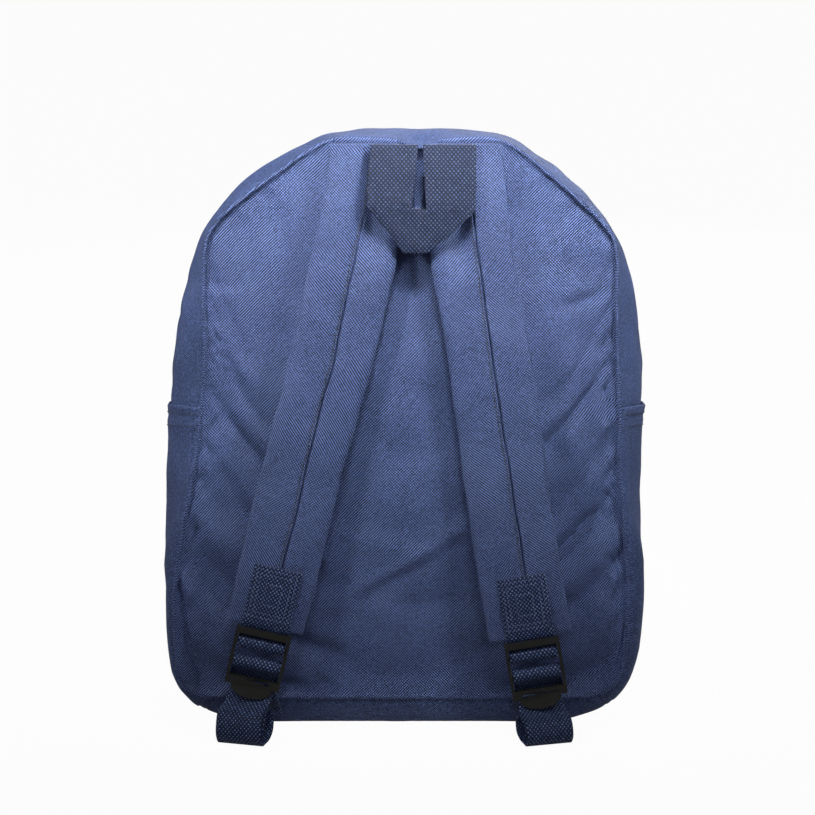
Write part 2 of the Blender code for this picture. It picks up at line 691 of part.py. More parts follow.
PAD_SECTION = [  # share of half width, share of half thickness
    (1.0, 0.0), (0.97, 0.55), (0.86, 0.92), (0.45, 1.0), (0.0, 1.0), (-0.45, 1.0), (-0.86, 0.92),
    (-0.97, 0.55), (-1.0, 0.0), (-0.97, -0.55), (-0.86, -0.92), (0.0, -1.0), (0.86, -0.92), (0.97, -0.55),
]


def pad_rings(side, heights, inset):
    _, slanted, out = strap_axes(side)
    rings = []
    for z in heights:
        centre, half, width = strap_point(side, z)
        turn = min(1.0, max(0.0, (0.285 - z) / 0.080))
        across = slanted * turn + np.array([1.0, 0, 0]) * (1 - turn)
        rings.append([
            centre + across * u * (width - inset) + out * v * (half - inset) for u, v in PAD_SECTION
        ])
    return np.array(rings)


def tube(name, outer, inner, parent, cap):
    """A sleeve between two stacks of rings; cap closes the last ring of both with a bottom."""
    rows, n = outer.shape[:2]
    verts = list(outer.reshape(-1, 3)) + list(inner.reshape(-1, 3))
    base = rows * n
    faces = []
    for r in range(rows - 1):
        for i in range(n):
            j = (i + 1) % n
            faces.append((r * n + i, r * n + j, (r + 1) * n + j, (r + 1) * n + i))
            faces.append((base + r * n + i, base + (r + 1) * n + i, base + (r + 1) * n + j, base + r * n + j))
    ends = [0] if cap else [0, rows - 1]
    for r in ends:
        for i in range(n):
            j = (i + 1) % n
            faces.append((r * n + i, base + r * n + i, base + r * n + j, r * n + j))
    if cap:
        faces.append(tuple((rows - 1) * n + i for i in range(n)))
        faces.append(tuple(base + (rows - 1) * n + n - 1 - i for i in range(n)))
    return add_mesh(name, verts, faces, parent)


def solid_rings(name, rings, parent):
    rows, n = rings.shape[:2]
    faces = [tuple(range(n)), tuple((rows - 1) * n + n - 1 - i for i in range(n))]
    for r in range(rows - 1):
        for i in range(n):
            j = (i + 1) % n
            faces.append((r * n + i, r * n + j, (r + 1) * n + j, (r + 1) * n + i))
    return add_mesh(name, rings.reshape(-1, 3), faces, parent)


def strap_pieces(side, bag, swing):
    low = strap_end(side)
    cloth = 0.0012
    head = [0.3725, 0.360, 0.345, 0.330, 0.315, STRAP_BEND_Z + 0.0004]
    tail = [STRAP_BEND_Z - 0.0004, 0.275, 0.245, 0.210, 0.180, 0.150, 0.118, low + 0.012]
    outer, inner = pad_rings(side, head, 0.0), pad_rings(side, head, cloth)
    tube(f"strap_head_{side}", outer, inner, bag, cap=False)
    solid_rings(f"strap_head_foam_{side}", pad_rings(side, head, cloth + 0.0003), bag)
    outer = pad_rings(side, tail + [low + 0.003, low], 0.0)
    outer[-1] = outer[-1].mean(axis=0) + (outer[-1] - outer[-1].mean(axis=0)) * [0.98, 0.72, 1.0]
    inner = pad_rings(side, tail + [low + 0.003, low + 0.0014], cloth)
    inner[-1] = inner[-1].mean(axis=0) + (inner[-1] - inner[-1].mean(axis=0)) * [0.97, 0.65, 1.0]
    tube(f"strap_cover_{side}", outer, inner, swing, cap=True)
    solid_rings(f"strap_foam_{side}", pad_rings(side, tail, cloth + 0.0003), swing)


# ---- ladder-lock, strap tab and adjuster webbing -----------------------------------------
BAR_A, BAR_B, BAR_W = 0.0125, 0.0240, 0.0046
BAR_R = 0.0017


def lock_frame(side):
    """Local X across the strap, Y outwards and Z up the strap, at the middle of its lower end."""
    low = strap_end(side)
    down, across, out = strap_axes(side)
    centre, _, _ = strap_point(side, low)
    right_handed = np.cross(out, -down)
    return frame_matrix(centre, tuple(right_handed), tuple(out), tuple(-down)), right_handed


def local_line(matrix, points):
    """points are (distance below the strap end, distance outwards)."""
    return [tuple(matrix @ Vector((0, w, -v))) for v, w in points]


def wrap(centre, radius, start, stop, steps):
    """Arc of a webbing round a bar, as (down, outwards) points; 0 degrees is outwards."""
    points = []
    for k in range(steps + 1):
        a = math.radians(start + (stop - start) * k / steps)
        points.append((centre[0] + radius * math.sin(a), centre[1] + radius * math.cos(a)))
    return points


def ladder_lock(side, pivot):
    m, _ = lock_frame(side)
    half, wall = 0.0174, 0.0019
    parts = [
        box(-half + 0.0002, half - 0.0002, 0.0082, 0.0106, -0.0046, -0.0006),
        box(-half + 0.0001, -half + wall + 0.0001, 0.0040, 0.0101, -0.0100, -0.0012),
        box(half - wall - 0.0001, half - 0.0001, 0.0040, 0.0101, -0.0100, -0.0012),
        box(-half, -half + wall, 0.0022, 0.0078, -0.0378, -0.0060),
        box(half - wall, half, 0.0022, 0.0078, -0.0378, -0.0060),
        rod(BAR_R, -half + 0.0006, half - 0.0006, BAR_W, -BAR_A),
        rod(BAR_R, -half + 0.0006, half - 0.0006, BAR_W - 0.0003, -BAR_B),
        box(-half + 0.0002, half - 0.0002, 0.0050, 0.0084, -0.0385, -0.0330),
    ]
    tip = []
    for y0, y1 in ((0.0056, 0.0080),):
        line = [(-0.0135, -0.0370), (-0.0125, -0.0415), (-0.0080, -0.0447), (0.0, -0.0460),
                (0.0080, -0.0447), (0.0125, -0.0415), (0.0135, -0.0370)]
        n = len(line)
        lift = [0.0, 0.0006, 0.0012, 0.0014, 0.0012, 0.0006, 0.0]
        verts = [(x, y0 + e, z) for (x, z), e in zip(line, lift)]
        verts += [(x, y1 + e, z) for (x, z), e in zip(line, lift)]
        faces = []
        for i in range(n):
            j = (i + 1) % n
            faces.append((i, j, n + j, n + i))
        for i in range(1, n - 1):
            faces.append((0, i, i + 1))
            faces.append((n, n + i + 1, n + i))
        tip.append((verts, faces))
    union(f"ladder_lock_{side}", [moved(p, m) for p in parts + tip], pivot)


def strap_tab(side, swing):
    """Webbing sewn to both faces of the strap end, with its loop round the ladder-lock's first bar."""
    m, across = lock_frame(side)
    face = STRAP_T / 2 + 0.0003 + WEB_T / 2
    r = BAR_R + 0.0003 + WEB_T / 2
    line = [(-0.040, face), (-0.020, face), (-0.004, face), (-0.0002, face - 0.0005),
            (0.0022, 0.0036), (0.0044, 0.0020), (0.0062, 0.0020), (0.0082, 0.0042)]
    line += wrap((BAR_A, BAR_W), r, -50, 190, 8)
    line += [(0.0085, 0.0006), (0.0050, -0.0012), (0.0016, -0.0045), (-0.0015, -face),
             (-0.012, -face), (-0.024, -face)]
    ribbon(f"strap_tab_{side}", local_line(m, line), across, WEB_W, WEB_T, swing)


ROLL = [  # y and z of the rolled tail, from below the ladder-lock to the inside of the roll
    (-0.0836, 0.0270), (-0.0872, 0.0240), (-0.0925, 0.0212), (-0.0960, 0.0150), (-0.0968, 0.0075),
    (-0.0935, 0.0020), (-0.0870, 0.0013), (-0.0795, 0.0015), (-0.0738, 0.0045), (-0.0715, 0.0105),
    (-0.0722, 0.0165), (-0.0760, 0.0203), (-0.0815, 0.0205), (-0.0865, 0.0180), (-0.0900, 0.0130),
    (-0.0908, 0.0085),
]
ROLL_SHIFT = {"left": -0.0035, "right": 0.0020}
ROLL_YAW = {"left": -15.0, "right": 15.0}


def adjuster(side, pivot, swing, bag):
    """Webbing over the second bar, out under the thumb tab and rolled up, and the part to the bag."""
    m, across = lock_frame(side)
    r = BAR_R + 0.0003 + WEB_T / 2
    front = [(0.0300, 0.0012), (0.0270, 0.0012)]
    front += wrap((BAR_B, BAR_W - 0.0003), r, -160, 20, 7)
    front += [(0.0285, 0.0055), (0.0320, 0.0034), (0.0380, 0.0030), (0.0430, 0.0034)]
    line = local_line(m, front)
    sides = [across] * len(line)
    end = Vector(line[-1])
    yaw = math.radians(ROLL_YAW[side])
    rolled = np.array([math.cos(yaw), math.sin(yaw), 0.0])
    inward = np.array([-math.sin(yaw), math.cos(yaw), 0.0])
    middle = -0.0840
    lowest = 0.0013
    squeeze = (end.z - 0.0050 - lowest) / (ROLL[0][1] - lowest)
    for k, (y, z) in enumerate(ROLL):
        t = min(1.0, (k + 0.5) / 4)
        height = lowest + (z - lowest) * squeeze
        base = np.array([end.x + ROLL_SHIFT[side] * t, middle, height])
        line.append(tuple(base + inward * (y - middle)))
        twist = min(1.0, max(0.0, (k - 0.5) / 4))
        mixed = np.array(across) * (1 - twist) + rolled * twist
        sides.append(mixed / np.linalg.norm(mixed))
    ribbon(f"adjuster_webbing_{side}", line, sides, WEB_W, WEB_T, pivot)
    load = local_line(m, [(0.0305, 0.0006), (0.0350, -0.0010), (0.0400, -0.0045)])
    x, y, z = load[-1]
    load += [(x * 0.98, -0.0705, 0.0250), (x * 0.97, -0.0652, 0.0195), (x * 0.965, -0.0628, 0.0150)]
    ribbon(f"load_webbing_{side}", load, across, WEB_W, WEB_T, bag)


# ---- carry loop ------------------------------------------------------------------------
def haul_loop(pivot):
    """Folded webbing: two legs side by side from the top seam, meeting in a folded point."""
    line = [
        (-0.0221, 0.3725), (-0.0236, 0.3560), (-0.0245, 0.3384), (-0.0130, 0.3240), (-0.0027, 0.3101),
        (0.0124, 0.3101), (0.0270, 0.3220), (0.0409, 0.3353), (0.0413, 0.3560), (0.0415, 0.3740),
        (0.0250, 0.3735), (0.0090, 0.3730), (0.0102, 0.3560), (0.0112, 0.3362), (0.0021, 0.3370),
        (0.0050, 0.3560), (0.0064, 0.3725), (-0.0070, 0.3725),
    ]
    strips = [(0, 1, 15, 16, 17), (1, 2, 14, 15), (2, 3, 4, 5, 14), (5, 6, 13, 14),
              (6, 7, 13), (7, 8, 12, 13), (8, 9, 10, 11, 12)]
    heights = [0.3090, 0.3380, 0.3560, 0.3745]
    middle = [-0.0822, -0.0805, -0.0770, -0.0722]
    t = 0.0032
    verts = []
    for extra in (-t / 2, t / 2):
        verts += [(x, float(np.interp(z, heights, middle)) + extra, z) for x, z in line]
    n = len(line)
    faces = [tuple(f) for f in strips] + [tuple(n + i for i in f[::-1]) for f in strips]
    faces += [(i, (i + 1) % n, n + (i + 1) % n, n + i) for i in range(n)]
    return add_mesh("haul_loop", verts, faces, pivot)


def main():
    clear_scene()
    bag = empty("bag", (0, 0, 0))
    flap = empty("mouth_joint", (ARCH_X, FLAP_PIVOT_Y, ARCH_Z), bag)
    back_panel_pieces(bag)
    gusset_pieces(bag, flap)
    front_panel_pieces(bag, flap)
    front_pocket_pieces(bag)
    main_sliders(flap)
    pocket_slider(bag)
    haul_loop(empty("haul_loop_joint", LOOP_PIVOT, bag))
    for side in ("left", "right"):
        bend, half, _ = strap_point(side, STRAP_BEND_Z)
        swing = empty(f"strap_{side}_joint", (bend[0], bend[1] - half, STRAP_BEND_Z), bag)
        strap_pieces(side, bag, swing)
        m, _ = lock_frame(side)
        pivot = empty(f"ladder_lock_{side}_joint", m @ Vector((0, BAR_W, -BAR_A)), swing)
        ladder_lock(side, pivot)
        strap_tab(side, swing)
        adjuster(side, pivot, swing, bag)


main()
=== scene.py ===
"""A navy school backpack seen from its strap side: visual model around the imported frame."""
import json
import math

import bmesh
import bpy
import numpy as np
from mathutils import Matrix, Vector

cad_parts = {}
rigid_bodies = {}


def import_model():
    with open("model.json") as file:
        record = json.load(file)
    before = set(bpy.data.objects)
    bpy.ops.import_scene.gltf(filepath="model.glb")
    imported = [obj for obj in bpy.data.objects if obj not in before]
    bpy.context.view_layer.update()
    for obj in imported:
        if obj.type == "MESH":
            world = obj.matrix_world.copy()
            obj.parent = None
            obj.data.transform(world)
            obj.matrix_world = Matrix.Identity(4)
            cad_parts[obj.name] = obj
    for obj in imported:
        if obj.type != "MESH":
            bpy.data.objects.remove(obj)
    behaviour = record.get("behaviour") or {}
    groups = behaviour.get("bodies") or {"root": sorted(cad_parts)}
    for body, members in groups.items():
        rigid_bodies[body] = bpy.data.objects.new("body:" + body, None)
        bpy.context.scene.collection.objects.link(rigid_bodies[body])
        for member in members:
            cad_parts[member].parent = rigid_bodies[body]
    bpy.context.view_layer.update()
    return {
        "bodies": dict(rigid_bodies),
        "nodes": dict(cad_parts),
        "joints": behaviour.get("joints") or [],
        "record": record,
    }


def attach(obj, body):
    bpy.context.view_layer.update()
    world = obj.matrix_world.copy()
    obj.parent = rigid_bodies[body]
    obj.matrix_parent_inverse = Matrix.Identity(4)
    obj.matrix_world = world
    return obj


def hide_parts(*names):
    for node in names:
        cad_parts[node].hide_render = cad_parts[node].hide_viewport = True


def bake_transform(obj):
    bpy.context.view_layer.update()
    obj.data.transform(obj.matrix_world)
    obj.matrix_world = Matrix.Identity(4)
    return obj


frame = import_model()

# ---- the bag's form, as in part.py (metres) -------------------------------------------
BACK_Y, CREST_Y, ZIP_Y, FRONT_Y = -0.058, -0.028, 0.012, 0.058
ARCH_X, ARCH_Z, ARCH_R, FRONT_ARCH_R = 0.0, 0.2155, 0.1525, 0.137
CENTRE = np.array([ARCH_X, 0, ARCH_Z])
LEAN, LEAN_Z, LOW_LEAN = 0.035, 0.20, 0.05
FABRIC, GAP = 0.0015, 0.0004
SHEET_T, TAPE_T = FABRIC * 0.8, 0.0007
PAD_T = 0.0079
WEB_W, WEB_T = 0.030, 0.0016
POCKET_TOP = 0.197


def mm(rows):
    """Rows of millimetres in metres."""
    return [tuple(v / 1000 for v in row) for row in rows]


# Half outlines of the seams as (x, z), and of the fullest line between them.
BACK_SEAM = mm([
    (0, 19), (60, 19), (107, 19), (122.5, 21.5), (134, 29), (141.5, 48), (144, 75), (143, 105),
    (139, 135), (134, 170), (131.5, 208), (129, 250), (127, 287), (120, 317), (102, 341),
    (80, 360.5), (66, 369), (50, 374.5), (25, 374.5), (0, 373.5),
])
CREST = mm([
    (0, 0), (60, 0), (105, 0), (123, 3.5), (140, 12), (149.5, 30), (152.8, 60), (153, 90),
    (152.2, 130), (151.2, 170), (150.8, 210), (147, 250), (141, 280), (130, 308), (112, 334),
    (94.5, 352.5), (78, 364.5), (58.5, 373), (30, 376.5), (0, 377.5),
])
ZIP_LINE_LOW = mm([
    (0, 0), (60, 0), (105, 0), (123, 3.5), (139, 12), (149, 30), (152, 60), (152.5, 90),
    (152.3, 130), (152.4, 170),
])
FRONT_SEAM_LOW = mm([
    (0, 19), (60, 19), (107, 19), (122.5, 21.5), (132, 29), (137.5, 48), (138.5, 75), (138.5, 105),
    (138, 135), (137.5, 170),
])
# Straps from the top down: height, middle, width.
STRAPS = {
    "left": mm([
        (372.5, -25.2, 43.5), (350, -27.3, 45.5), (310, -31.8, 52.5), (260, -43.1, 53.5),
        (220, -52.8, 51), (180, -63.5, 50), (140, -73.5, 50.5), (100, -82.6, 50.5), (74, -89, 49),
    ]),
    "right": mm([
        (372.5, 35.5, 45.5), (350, 36.1, 47.5), (310, 38.8, 52), (260, 47.7, 51.5),
        (220, 53.9, 52), (180, 59.2, 52), (140, 64.8, 52.5), (100, 71.2, 53), (68, 77, 52.5),
    ]),
}
# Their height, how far out they lie and half their thickness.
STRAP_Y = mm([
    (372.5, -66.2, 3), (345, -70.5, 4.5), (315, -73, 5), (250, -74.5, 5), (180, -76.2, 5),
    (118, -78.5, 5), (60, -78.5, 5),
])
# Height, x of the lapped seam.
STITCH_LINE = {
    "left": mm([
        (380, -18.5), (338, -24.6), (312, -30.7), (282, -37.5), (241, -45.7), (200, -57.1),
        (147, -69.2), (112, -78.2), (60, -91.5),
    ]),
    "right": mm([
        (380, 33), (330, 39.8), (298, 44.2), (266, 48.6), (233.5, 53.1), (200, 58.3), (125, 70.6),
        (106, 73.5), (60, 81),
    ]),
}

# How far the soft sides stand out from the even outlines, by height: the left shoulder is fuller,
# and the lower corners are drawn in.
SIDE_OUT_LEFT = mm([
    (0, -12.5), (12, -11), (22, -9), (35, -6.2), (55, -5), (90, -4.4), (120, -1.8), (150, -0.2),
    (200, -0.8), (250, 0.3), (284, 1.2), (297, 3.6), (309, 6), (325, 8), (345, 7.8), (360, 6.4),
    (372, 4),
])
SIDE_OUT_RIGHT = mm([
    (0, -7), (12, -4.5), (22, -2.6), (32, -1.5), (50, 0.6), (90, -0.3), (130, -1.6), (160, -3),
    (250, -3.2), (275, -1.5), (310, 0), (340, -1), (360, -4.5), (375, -6),
])
SEAM_OUT_LEFT = mm([
    (19, 6.5), (29, 5), (48, 1), (150, 0), (208, -2), (250, -1), (287, 2.5), (317, 7.5),
    (330, 7.5), (345, 3), (360, 0),
])
SEAM_OUT_RIGHT = mm([
    (19, 6), (30, 6), (56, 2.5), (80, 1), (111, 0), (201.5, 1.5), (250, 0), (277, -1),
    (316.5, 2.7), (330, 0), (342, -3), (361, -6),
])


# ---- lines and outlines ------------------------------------------------------------------
def smooth(points, per=6):
    """Catmull-Rom through the points of an open line."""
    p = np.array(points, float)
    p = np.vstack([2 * p[0] - p[1], p, 2 * p[-1] - p[-2]])
    out = []
    for a, b, c, d in zip(p, p[1:], p[2:], p[3:]):
        for t in np.arange(per) / per:
            out.append(0.5 * (2 * b + (c - a) * t + (2 * a - 5 * b + 4 * c - d) * t * t
                              + (3 * b - a - 3 * c + d) * t ** 3))
    out.append(p[-2])
    return np.array(out)


def lengths_along(points):
    return np.concatenate([[0], np.cumsum(np.linalg.norm(np.diff(points, axis=0), axis=1))])


def even(points, step):
    """The same line at even steps of about that length."""
    p = np.array(points, float)
    d = lengths_along(p)
    n = max(2, int(round(d[-1] / step)) + 1)
    t = np.linspace(0, d[-1], n)
    return np.column_stack([np.interp(t, d, column) for column in p.T])


def arch(radius):
    turn = np.radians(range(0, 91, 6))
    return [(radius * math.cos(a), ARCH_Z + radius * math.sin(a)) for a in turn]


def low_only(table):
    return [(z, out * max(0.0, 1 - z / 0.10)) for z, out in table]


def radial(half_line, lean, level, out=(None, None), lean_to=1.0):
    """(angle, radius) round the arch's middle of a half outline, mirrored, leaned and let out."""
    half = smooth(half_line)
    half = half[half[:, 0] > 1e-6]
    wide = np.clip(half[:, 0] / 0.10, 0, 1)
    sides = []
    for way, table in zip((1, -1), out):
        moved_out = np.interp(half[:, 1], *np.array(table).T) if table else 0.0
        sides.append(np.column_stack([way * (half[:, 0] + moved_out * wide), half[:, 1]]))
    loop = np.vstack(sides)
    x = loop[:, 0] + lean * (np.minimum(loop[:, 1], lean_to) - level) - ARCH_X
    z = loop[:, 1] - ARCH_Z
    angle = np.degrees(np.arctan2(z, x))
    order = np.argsort(angle)
    return angle[order], np.hypot(x, z)[order]


SIDES_OUT = SIDE_OUT_RIGHT, SIDE_OUT_LEFT
OUTLINES = {
    "back": radial(BACK_SEAM, LEAN, LEAN_Z, (SEAM_OUT_RIGHT, SEAM_OUT_LEFT)),
    "crest": radial(CREST, LEAN, LEAN_Z, SIDES_OUT),
    "zip": radial(ZIP_LINE_LOW + arch(ARCH_R), LOW_LEAN, ARCH_Z,
                  [low_only(table) for table in SIDES_OUT], ARCH_Z),
    "front": radial(FRONT_SEAM_LOW + arch(FRONT_ARCH_R), LOW_LEAN, ARCH_Z, lean_to=ARCH_Z),
}


def wrap180(angle):
    return (np.asarray(angle, float) + 180) % 360 - 180


def reach(which, angle):
    return np.interp(wrap180(angle), *OUTLINES[which], period=360)


def polar(x, z):
    """Distance and angle from the arch's middle."""
    x, z = x - ARCH_X, z - ARCH_Z
    return np.hypot(x, z), np.degrees(np.arctan2(z, x))


def fullness(angle, k):
    """The share k, let out towards the floor where the base is flat."""
    turn = np.abs(wrap180(np.asarray(angle) + 90))
    base = np.clip((62.0 - turn) / 8.0, 0, 1)
    return k + (np.minimum(1.0, 1.04 * (1 - (1 - k) ** 4)) - k) * base


def body_radius(angle, y):
    angle, y = np.broadcast_arrays(np.asarray(angle, float), np.asarray(y, float))
    back, crest, zipl, front = (reach(w, angle) for w in ("back", "crest", "zip", "front"))
    u = np.clip((y - BACK_Y) / (CREST_Y - BACK_Y), 0, 1)
    rear = back + (crest - back) * fullness(angle, np.sin(u * math.pi / 2))
    u = np.clip((y - CREST_Y) / (ZIP_Y - CREST_Y), 0, 1)
    mid = crest + (zipl - crest) * (0.5 - 0.5 * np.cos(u * math.pi))
    u = np.clip((y - ZIP_Y) / (FRONT_Y - ZIP_Y), 0, 1)
    fore = front + (zipl - front) * fullness(angle, np.cos(u * math.pi / 2))
    return np.where(y < CREST_Y, rear, np.where(y < ZIP_Y, mid, fore))


def at(angle, radius, y):
    a = np.radians(angle)
    x, z = ARCH_X + radius * np.cos(a), ARCH_Z + radius * np.sin(a)
    return np.stack(np.broadcast_arrays(x, y, z), -1)


def step01(value, low, high):
    t = np.clip((value - low) / (high - low), 0, 1)
    return t * t * (3 - 2 * t)


def bump01(value, middle, width, power=2):
    return np.exp(-((value - middle) / width) ** power)


def crown(p):
    """The bag's top, drawn up by its stuffing and pulled down at the middle of the carry loop."""
    x, y, z = p[..., 0], p[..., 1], p[..., 2]
    high = step01(z, 0.350, 0.3725)
    wide = 1 - step01(np.abs(x - 0.006), 0.045, 0.085)
    dip = bump01(x, 0.0080, 0.0105) * bump01(y, BACK_Y, 0.014)
    p[..., 2] = z + high * (0.0030 * wide - 0.0042 * dip)
    return p


def body_point(angle, y):
    p = at(angle, body_radius(angle, y), y)
    p[..., 2] = np.maximum(p[..., 2], 0.0)
    return crown(p)


def spread(a0, a1, count):
    """Angles at even steps of girth."""
    fine = np.linspace(a0, a1, 900)
    d = lengths_along(at(fine, reach("crest", fine), 0.0))
    return np.interp(np.linspace(0, d[-1], count), d, fine)


def ripple(u, v, size, seed, count):
    """Smooth irregular waves of about that size (metres), seeded, from -1 to 1."""
    rng = np.random.default_rng(int(seed))
    out = 0.0
    for _ in range(count):
        a = rng.uniform(-math.pi, math.pi)
        f = rng.uniform(0.6, 1.6) / size
        wave_at = 2 * math.pi * f * (u * math.cos(a) + v * math.sin(a))
        out = out + np.sin(wave_at + rng.uniform(0, 6.28))
    return out / math.sqrt(count) / 1.6


# ---- mesh helpers ----------------------------------------------------------------------
def new_object(name, verts, faces, uvs, material):
    """A smooth-shaded object whose faces all point outwards."""
    mesh = bpy.data.meshes.new(name)
    mesh.from_pydata([tuple(v) for v in np.asarray(verts, float)], [], [tuple(f) for f in faces])
    if uvs is not None:
        layer = mesh.uv_layers.new(name="UVMap")
        index = np.empty(len(mesh.loops), int)
        mesh.loops.foreach_get("vertex_index", index)
        layer.data.foreach_set("uv", np.asarray(uvs, np.float32)[index].ravel())
    mesh.polygons.foreach_set("use_smooth", [True] * len(mesh.polygons))
    obj = bpy.data.objects.new(name, mesh)
    bpy.context.scene.collection.objects.link(obj)
    mesh.materials.append(material)
    bm = bmesh.new()
    bm.from_mesh(mesh)
    bmesh.ops.recalc_face_normals(bm, faces=bm.faces)
    bm.to_mesh(mesh)
    bm.free()
    return obj


def round_faces(rows, count, base=0):
    """Faces between rows of points that each close on themselves."""
    faces = []
    for r in range(rows - 1):
        a = base + r * count
        for i in range(count):
            j = (i + 1) % count
            faces.append((a + i, a + j, a + count + j, a + count + i))
    return faces


def tube_faces(rows, count):
    """The same, with both ends closed."""
    ends = [tuple(range(count)), tuple(rows * count - 1 - j for j in range(count))]
    return round_faces(rows, count) + ends


def bead_faces(rows, base):
    """A closed solid from rows of six points that start at `base`."""
    last = base + 6 * (rows - 1)
    return round_faces(rows, 6, base) + [tuple(range(base + 5, base - 1, -1)),
                                         tuple(range(last, last + 6))]


def panel_solid(rings, front, back):
    """Points and faces of a panel from rings of points, with a middle point on each side."""
    nr, na = rings.shape[:2]
    verts = [*rings.reshape(-1, 3), front, back]
    faces = round_faces(nr, na)
    for i in range(na):
        j = (i + 1) % na
        faces.append((nr * na, j, i))
        faces.append((nr * na + 1, (nr - 1) * na + i, (nr - 1) * na + j))
    return verts, faces


def grid_faces(nu, nv, around=False, flip=False, base=0):
    faces = []
    for i in range(nu if around else nu - 1):
        a, b = base + i * nv, base + (i + 1) % nu * nv
        for j in range(nv - 1):
            f = (a + j, b + j, b + j + 1, a + j + 1)
            faces.append(f[::-1] if flip else f)
    return faces


def grid_normals(p):
    n = np.cross(np.gradient(p, axis=0), np.gradient(p, axis=1))
    return n / np.maximum(np.linalg.norm(n, axis=2, keepdims=True), 1e-12)


def outward(p):
    """Normals of a grid, pointing away from the middle of the bag."""
    n = grid_normals(p)
    return np.where(np.sum(n * (p - CENTRE), axis=2, keepdims=True) < 0, -n, n)


def cloth_sheet(name, p, uv, thick, material, edge=0.0):
    """A sheet from a grid of points on its outer face, with its thickness behind it."""
    n = grid_normals(p)
    nu, nv = p.shape[:2]
    mid = nu // 2, nv // 2
    if np.dot(n[mid], p[mid] - CENTRE) < 0:
        n = -n
    inner = p - n * thick
    if edge:
        p = p.copy()
        for sl in ((0, slice(None)), (-1, slice(None)), (slice(None), 0), (slice(None), -1)):
            p[sl] = p[sl] - n[sl] * thick * edge
    a = np.array(grid_faces(nu, nv))
    both = [a, (a + nu * nv)[:, ::-1]]
    if np.dot(np.cross(p[1, 0] - p[0, 0], p[0, 1] - p[0, 0]), n[0, 0]) < 0:
        both = [a[:, ::-1], a + nu * nv]
    index = np.arange(nu * nv).reshape(nu, nv)
    rim = np.concatenate([index[:, 0], index[-1, 1:], index[-2::-1, -1], index[0, -2:0:-1]])
    after = np.roll(rim, -1)
    faces = np.vstack([*both, np.column_stack([rim, after, after + nu * nv, rim + nu * nv])])
    verts = np.vstack([p.reshape(-1, 3), inner.reshape(-1, 3)])
    return new_object(name, verts, faces.tolist(), np.tile(uv.reshape(-1, 2), (2, 1)), material)


def ribbon(name, line, sides):
    """Webbing along a line; sides gives its width direction at each point."""
    line = np.array(line, float)
    sides = np.array(sides, float)
    if sides.ndim == 1:
        sides = np.tile(sides, (len(line), 1))
    # the directions ride along, too small to change the length of the line
    fine = even(np.hstack([smooth(line, 8), smooth(sides, 8) * 1e-6]), 0.0012)
    pts, sd = fine[:, :3], fine[:, 3:] * 1e6
    sd /= np.linalg.norm(sd, axis=1)[:, None]
    up = np.cross(sd, np.gradient(pts, axis=0))
    up /= np.linalg.norm(up, axis=1)[:, None]
    length = lengths_along(pts)
    ts = np.linspace(-1, 1, 12)
    # flat up to the selvedges, which are rounded
    half, flat = WEB_W / 2, WEB_W / 2 - WEB_T * 0.25
    profile = [(t * flat, WEB_T / 2) for t in ts] + [(half, 0.0)]
    profile += [(t * flat, -WEB_T / 2) for t in ts[::-1]] + [(-half, 0.0)]
    verts, uvs = [], []
    for k in range(len(pts)):
        for a, b in profile:
            verts.append(pts[k] + sd[k] * a + up[k] * b)
            uvs.append((a + half, length[k]))
    faces = tube_faces(len(pts), len(profile))
    return new_object(name, verts, faces, uvs, MAT["web"]), length[-1]


# Place along a stitch, width and height of its rings, as shares of its length and radius.
STITCH_RINGS = ((-0.5, 0.25, -0.5), (-0.30, 0.9, 0.2), (0.0, 1.0, 0.45), (0.30, 0.9, 0.2),
                (0.5, 0.25, -0.5))


def stitches(name, line, out, thread="thread", pitch=0.0032, long=0.0023, radius=0.00030,
             raised=0.00010):
    """A row of stitches along a line on a surface; out is the surface's outward way."""
    line = even(np.array(line, float), 0.0006)
    out = np.array(out, float)
    if out.ndim == 1:
        out = np.tile(out, (len(line), 1))
    else:
        k, t = np.linspace(0, 1, len(out)), np.linspace(0, 1, len(line))
        out = np.column_stack([np.interp(t, k, column) for column in out.T])
    d = lengths_along(line)

    def at_length(length, values):
        return np.array([np.interp(length, d, column) for column in values.T])

    verts, faces = [], []
    for s in range(int(d[-1] / pitch)):
        mid = (s + 0.5) * pitch
        c, o = at_length(mid, line), at_length(mid, out)
        o /= np.linalg.norm(o)
        a = at_length(min(mid + 0.0008, d[-1]), line) - c
        a /= max(np.linalg.norm(a), 1e-9)
        side = np.cross(o, a)
        faces += bead_faces(len(STITCH_RINGS), len(verts))
        for t, w, h in STITCH_RINGS:
            for g in np.arange(6) * math.pi / 3:
                verts.append(c + a * t * long + side * math.cos(g) * radius * w
                             + o * (math.sin(g) * radius * w + h * radius + raised))
    return new_object(name, verts, faces, None, MAT[thread])


